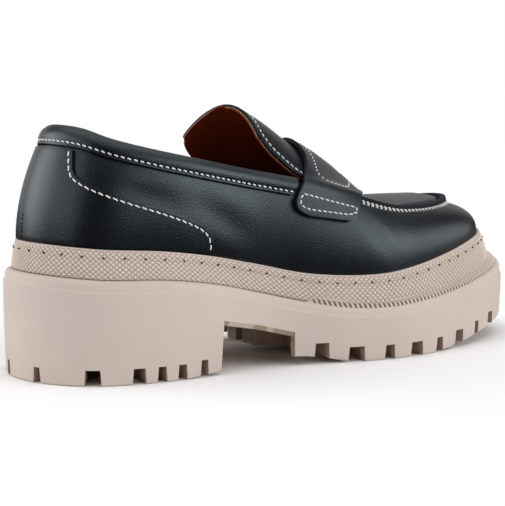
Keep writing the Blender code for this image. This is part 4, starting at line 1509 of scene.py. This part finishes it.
def sew_counter(white):
    """Stitching inside the counter's edge, down each side from the binding."""
    share, top = counter_edge()
    middle = len(share) // 2
    for name, part in (("inner", slice(0, middle - COUNTER_BACK_STEPS + 2)),
                       ("outer", slice(middle + COUNTER_BACK_STEPS - 1, None))):
        climb = climb_to(share[part], top[part])
        points, normals = on_wall(share[part], climb, COUNTER_CLEAR + COUNTER_THICK)
        points = inset_path(points, normals, COUNTER_STITCH_INSET)
        sew(f"counter_stitches_{name}", points, normals, white, COUNTER_STITCH_PITCH)


def sew_dart(dark):
    """Dark stitches that close the counter's dart at the heel back."""
    share = np.zeros(DART_PATH_STEPS)
    foot = SOLE["welt_top"](edge_x(share)) + COUNTER_FOOT
    climb = climb_to(share, foot + np.linspace(DART_START, DART_HIGH, DART_PATH_STEPS))
    path = on_wall(share, climb, COUNTER_CLEAR + COUNTER_THICK - DART_DEEP / 2)
    sew("heel_dart_stitches", *path, dark, DART_PITCH, DART_GAP, DART_THREAD, 0.0)


def tongue_grid(depth):
    """The tongue's surface at a depth below its outer face."""
    start, end = TONGUE_ROWS[0][0], TONGUE_ROWS[-1][0]
    x = start + (end - start) * np.linspace(0.0, 1.0, TONGUE_ROW_COUNT) ** TONGUE_CROWDING
    back = (THROAT_X - x) / (THROAT_X - start)
    grid = []
    for side in np.linspace(-1.0, 1.0, TONGUE_COLUMN_COUNT):
        y = side * TONGUE["outer" if side < 0 else "inner"](x)
        row = roof(x, across_at(x, y))
        below = ROOF["crest"](x) - row[:, 2]
        row[:, 0] -= (TONGUE_TWIST * (y - TONGUE_CENTRE) + TONGUE_SWEEP * below) * back
        grid.append(row)
    return raised(grid, -depth)


def make_tongue(black, tan, lining):
    """Tongue of outer leather and lining, with the lining's raw edge showing between them."""
    face = tongue_grid(0.0)
    outer = thicken(laid_grid("tongue_leather", face), -TONGUE_THICK, TONGUE_BEVEL)
    mark_edges(outer, face)
    hand_over(outer, black, "leather", "tongue")
    depth = TONGUE_THICK
    layers = (("cut_edge", TONGUE_EDGE_THICK, tan), ("lining", TONGUE_LINING_THICK, lining))
    for name, thick, material in layers:
        depth += LAYER_GAP
        layer = thicken(laid_grid(f"tongue_{name}", tongue_grid(depth)), -thick)
        hand_over(layer, material, "lining")
        depth += thick


def sew_tongue(white):
    """Stitching round the tongue's free edge."""
    grid = tongue_grid(0.0)
    path, up = (np.concatenate([rows[0, ::-1], rows[1:-1, 0], rows[-1]])
                for rows in (grid, grid_normals(grid)))
    keep = path[:, 0] < TONGUE_STITCH_END_X
    path, up = path[keep], up[keep]
    inset = np.interp(path[:, 0], TONGUE_STITCH_TURN, TONGUE_STITCH_INSET)
    sew("tongue_stitches", inset_path(path, up, inset), up, white)


def cut_slot(strap):
    """Cuts the oval slot through the strap."""
    deselect_all()
    bpy.ops.mesh.primitive_cylinder_add(vertices=SLOT_SIDES, radius=0.5, depth=1.0)
    slot = bpy.context.object
    slot.location = Vector((SLOT_X, TONGUE_CENTRE, float(ROOF["crest"](SLOT_X)))) * MM
    slot.rotation_euler = (0.0, SLOT_SLOPE, 0.0)
    slot.scale = Vector((SLOT_WIDE, SLOT_LONG, SLOT_DEEP)) * MM
    apply_modifier(strap, "BOOLEAN", operation="DIFFERENCE", solver="EXACT", object=slot)
    bpy.data.objects.remove(slot)


def make_strap(black):
    """Saddle strap with its slot."""
    end = STRAP_ROWS[-1][0]
    across = np.linspace(-end, end, STRAP_STEPS)
    rear, front = STRAP["rear"](np.abs(across)), STRAP["front"](np.abs(across))
    grid = np.array([over_instep(rear + (front - rear) * part, across)
                     for part in np.linspace(0.0, 1.0, STRAP_ALONG)])
    grid = raised(grid.transpose(1, 0, 2), STRAP_CLEAR)
    strap = thicken(laid_grid("saddle_strap", grid), STRAP_THICK)
    cut_slot(strap)
    round_edges(strap, STRAP_BEVEL)
    mark_edges(strap, grid)
    hand_over(strap, black, "leather", "strap", smooth=SMOOTH_STRAP)


def closed_path(rows, corner):
    """A closed path through rows of places across the strap and along the shoe, with rounded corners."""
    knots = np.array(list(rows) + [rows[0]], float) * STITCH_PATH_SCALE
    reach = np.linspace(0.0, lengths_of(knots)[-1], STITCH_PATH_STEPS, endpoint=False)
    path = along(knots, knots, reach)
    path = np.mean([np.roll(path, k, axis=0) for k in range(-corner, corner + 1)], axis=0)
    return np.concatenate([path, path[:1]]) / STITCH_PATH_SCALE


def sew_strap(white):
    """Stitching round each tab and round the slot panel."""
    tab = closed_path(TAB_STITCH_ROWS, TAB_CORNER)
    outer_half = [(-across, x) for across, x in PANEL_STITCH_ROWS]
    panel = closed_path(outer_half + list(PANEL_STITCH_ROWS[-2:0:-1]), PANEL_CORNER)
    panel_stitch = (PANEL_STITCH_PITCH, PANEL_STITCH_GAP, PANEL_STITCH_RADIUS)
    rows = (("outer_tab", tab * (-1.0, 1.0), ()), ("inner_tab", tab, ()), ("panel", panel, panel_stitch))
    for name, path, stitch in rows:
        sew(f"strap_{name}_stitches", *on_strap(*path.T, STRAP_CLEAR + STRAP_THICK), white, *stitch)


def seam_line():
    """The moccasin seam: its points, the outward direction in plan and the upward one."""
    points = wall(np.linspace(*top_shares(SEAM_START_X), SEAM_STEPS + 1), 1.0)
    run = unit(np.gradient(points, axis=0))
    outward = unit(np.column_stack([run[:, 1], -run[:, 0], np.zeros(len(run))]))
    return points, outward, unit(np.cross(outward, run))


def make_seam(black):
    """Rolled rim where the walls are gathered to the apron."""
    points, outward, up = seam_line()
    high = SEAM["high"](points[:, 0])[:, None]
    rows = []
    for angle in np.linspace(0.0, math.pi, SEAM_SIDES):
        side, rise = math.cos(angle), max(math.sin(angle), 0.0)
        out = (SEAM_OUT if side > 0 else -SEAM_IN) * abs(side) ** SEAM_SQUARE
        rows.append(points + outward * out + up * (high * rise ** SEAM_SQUARE - SEAM_SINK))
    rim = thicken(laid_grid("apron_rim", rows), -SEAM_THICK)
    mark(rim, "edge", np.ones(len(rim.data.polygons)), "FACE")
    hand_over(rim, black, "leather", "apron_seam", smooth=SMOOTH_RIM)


def sew_seam(white):
    """Heavy thread leaning over the outside of the rim, with thinner thread crossing back."""
    points, outward, up = seam_line()
    reach = spread(points, SEAM_PITCH)[0]
    drop, climb = (up * SEAM[name](points[:, 0])[:, None] for name in ("drop", "reach"))
    middle = points + outward * (SEAM_OUT + SEAM_STITCH_OUT) - drop
    low, high = middle - climb + outward * SEAM_STITCH_OUT, middle + climb
    normal = unit(along(points, unit(outward + up * SEAM_TILT), reach))
    rows = (
        ("stitches", high, low, SEAM_STITCH_LEAN, SEAM_STITCH_THICK),
        ("crossings", low, high, SEAM_CROSSING_LEAN, SEAM_CROSSING_THICK),
    )
    for name, first, last, (behind, ahead), thick in rows:
        starts, ends = along(points, first, reach - behind), along(points, last, reach + ahead)
        lay_threads(f"moccasin_{name}", starts, ends, normal, thick, white)


# Stage

def make_camera():
    """Camera at the photograph's angle and framing."""
    data = bpy.data.cameras.new("photo_camera")
    data.sensor_width = SENSOR
    data.lens = PHOTO_FOCAL * SENSOR / PHOTO_SIDE
    data.clip_start = CAMERA_NEAR
    camera = bpy.data.objects.new("photo_camera", data)
    level = math.cos(CAMERA_PITCH)
    ahead = Vector((math.cos(CAMERA_YAW) * level, math.sin(CAMERA_YAW) * level, math.sin(CAMERA_PITCH)))
    camera.location = CAMERA_PLACE
    camera.rotation_euler = ahead.to_track_quat("-Z", "Y").to_euler()
    bpy.context.scene.collection.objects.link(camera)
    bpy.context.scene.camera = camera


def studio_world():
    """Room that is white to the camera and otherwise dark but for its soft lights."""
    world = bpy.data.worlds.new("studio")
    world.use_nodes = True
    where = add_node(world, "TexCoord")
    room = add_node(world, "Value")
    room.outputs[0].default_value = ROOM_DARK
    for name, direction, start, full, strength in GLOW_ROWS:
        facing = add_node(world, "VectorMath", operation="DOT_PRODUCT")
        facing.inputs[1].default_value = Vector(direction).normalized()
        link(where, "Generated", facing, 0)
        glow = add_node(world, "MapRange", label=name, from_min=start, from_max=full, to_max=strength)
        link(facing, "Value", glow, "Value")
        brighter = add_node(world, "Math", operation="ADD")
        link(room, 0, brighter, 0)
        link(glow, "Result", brighter, 1)
        room = brighter
    seen = add_node(world, "Mix")
    seen.inputs[MIX_NUMBERS[1]].default_value = 1.0
    link(add_node(world, "LightPath"), "Is Camera Ray", seen, MIX_FACTOR)
    link(room, 0, seen, MIX_NUMBERS[0])
    background = world.node_tree.nodes["Background"]
    background.inputs["Color"].default_value = (1.0, 1.0, 1.0, 1.0)
    link(seen, 0, background, "Strength")
    bpy.context.scene.world = world


def make_floor():
    """Pale floor, dimmer in the leather's reflection, as behind a black card in front of the shoe."""
    deselect_all()
    bpy.ops.mesh.primitive_plane_add(size=FLOOR_SIZE, location=(0.0, 0.0, FLOOR_HEIGHT))
    floor = bpy.context.object
    floor.name = "floor"
    material, shader = new_material("floor_white")
    tone = add_node(material, "Mix", data_type="RGBA")
    for socket, colour in zip(MIX_COLOURS, (FLOOR_WHITE, FLOOR_REFLECTED)):
        tone.inputs[socket].default_value = colour
    link(add_node(material, "LightPath"), "Is Glossy Ray", tone, MIX_FACTOR)
    link(tone, MIX_COLOUR_OUT, shader, "Base Color")
    set_gloss(shader, FLOOR_ROUGHNESS, 0.0)
    floor.data.materials.append(material)


def make_stage():
    """Pale floor and soft studio light."""
    make_floor()
    studio_world()
    bpy.context.scene.view_settings.view_transform = "Standard"


def make_sole(lining):
    """Rubber unit, welt and footbed."""
    rubber = moulded_rubber("blush_rubber", *BLUSH_RUBBER)
    make_outsole(rubber)
    make_knurl(moulded_rubber("knurled_rubber", *KNURLED_RUBBER))
    make_welt(rubber)
    make_flutes(moulded_rubber("fluted_rubber", *FLUTED_RUBBER))
    # The dark thread at the welt's holes is painted shade
    sew_welt(thread("beige_thread", THREAD_BEIGE), thread("hole_painted_shade", HOLE_PAINTED_SHADE, sheen=0.0))
    make_insole(lining)


def make_leather_work(lining):
    """Everything above the welt, with its stitching."""
    black = leather("black_leather", *BLACK_LEATHER)
    make_upper(black)
    make_lining(lining)
    make_binding(black)
    make_counter(black)
    make_tongue(black, cut_edge("lining_cut_edge"), lining)
    make_strap(black)
    make_seam(black)
    white = thread("white_thread", THREAD_WHITE)
    sew_collar(white)
    sew_counter(white)
    sew_dart(thread("black_thread", BLACK, sheen=0.0))
    sew_tongue(white)
    sew_strap(white)
    sew_seam(white)


def main():
    """Loads the solids and dresses them."""
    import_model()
    make_camera()
    make_stage()
    lining = leather("lining_leather", *LINING_LEATHER)
    make_sole(lining)
    make_leather_work(lining)


main()
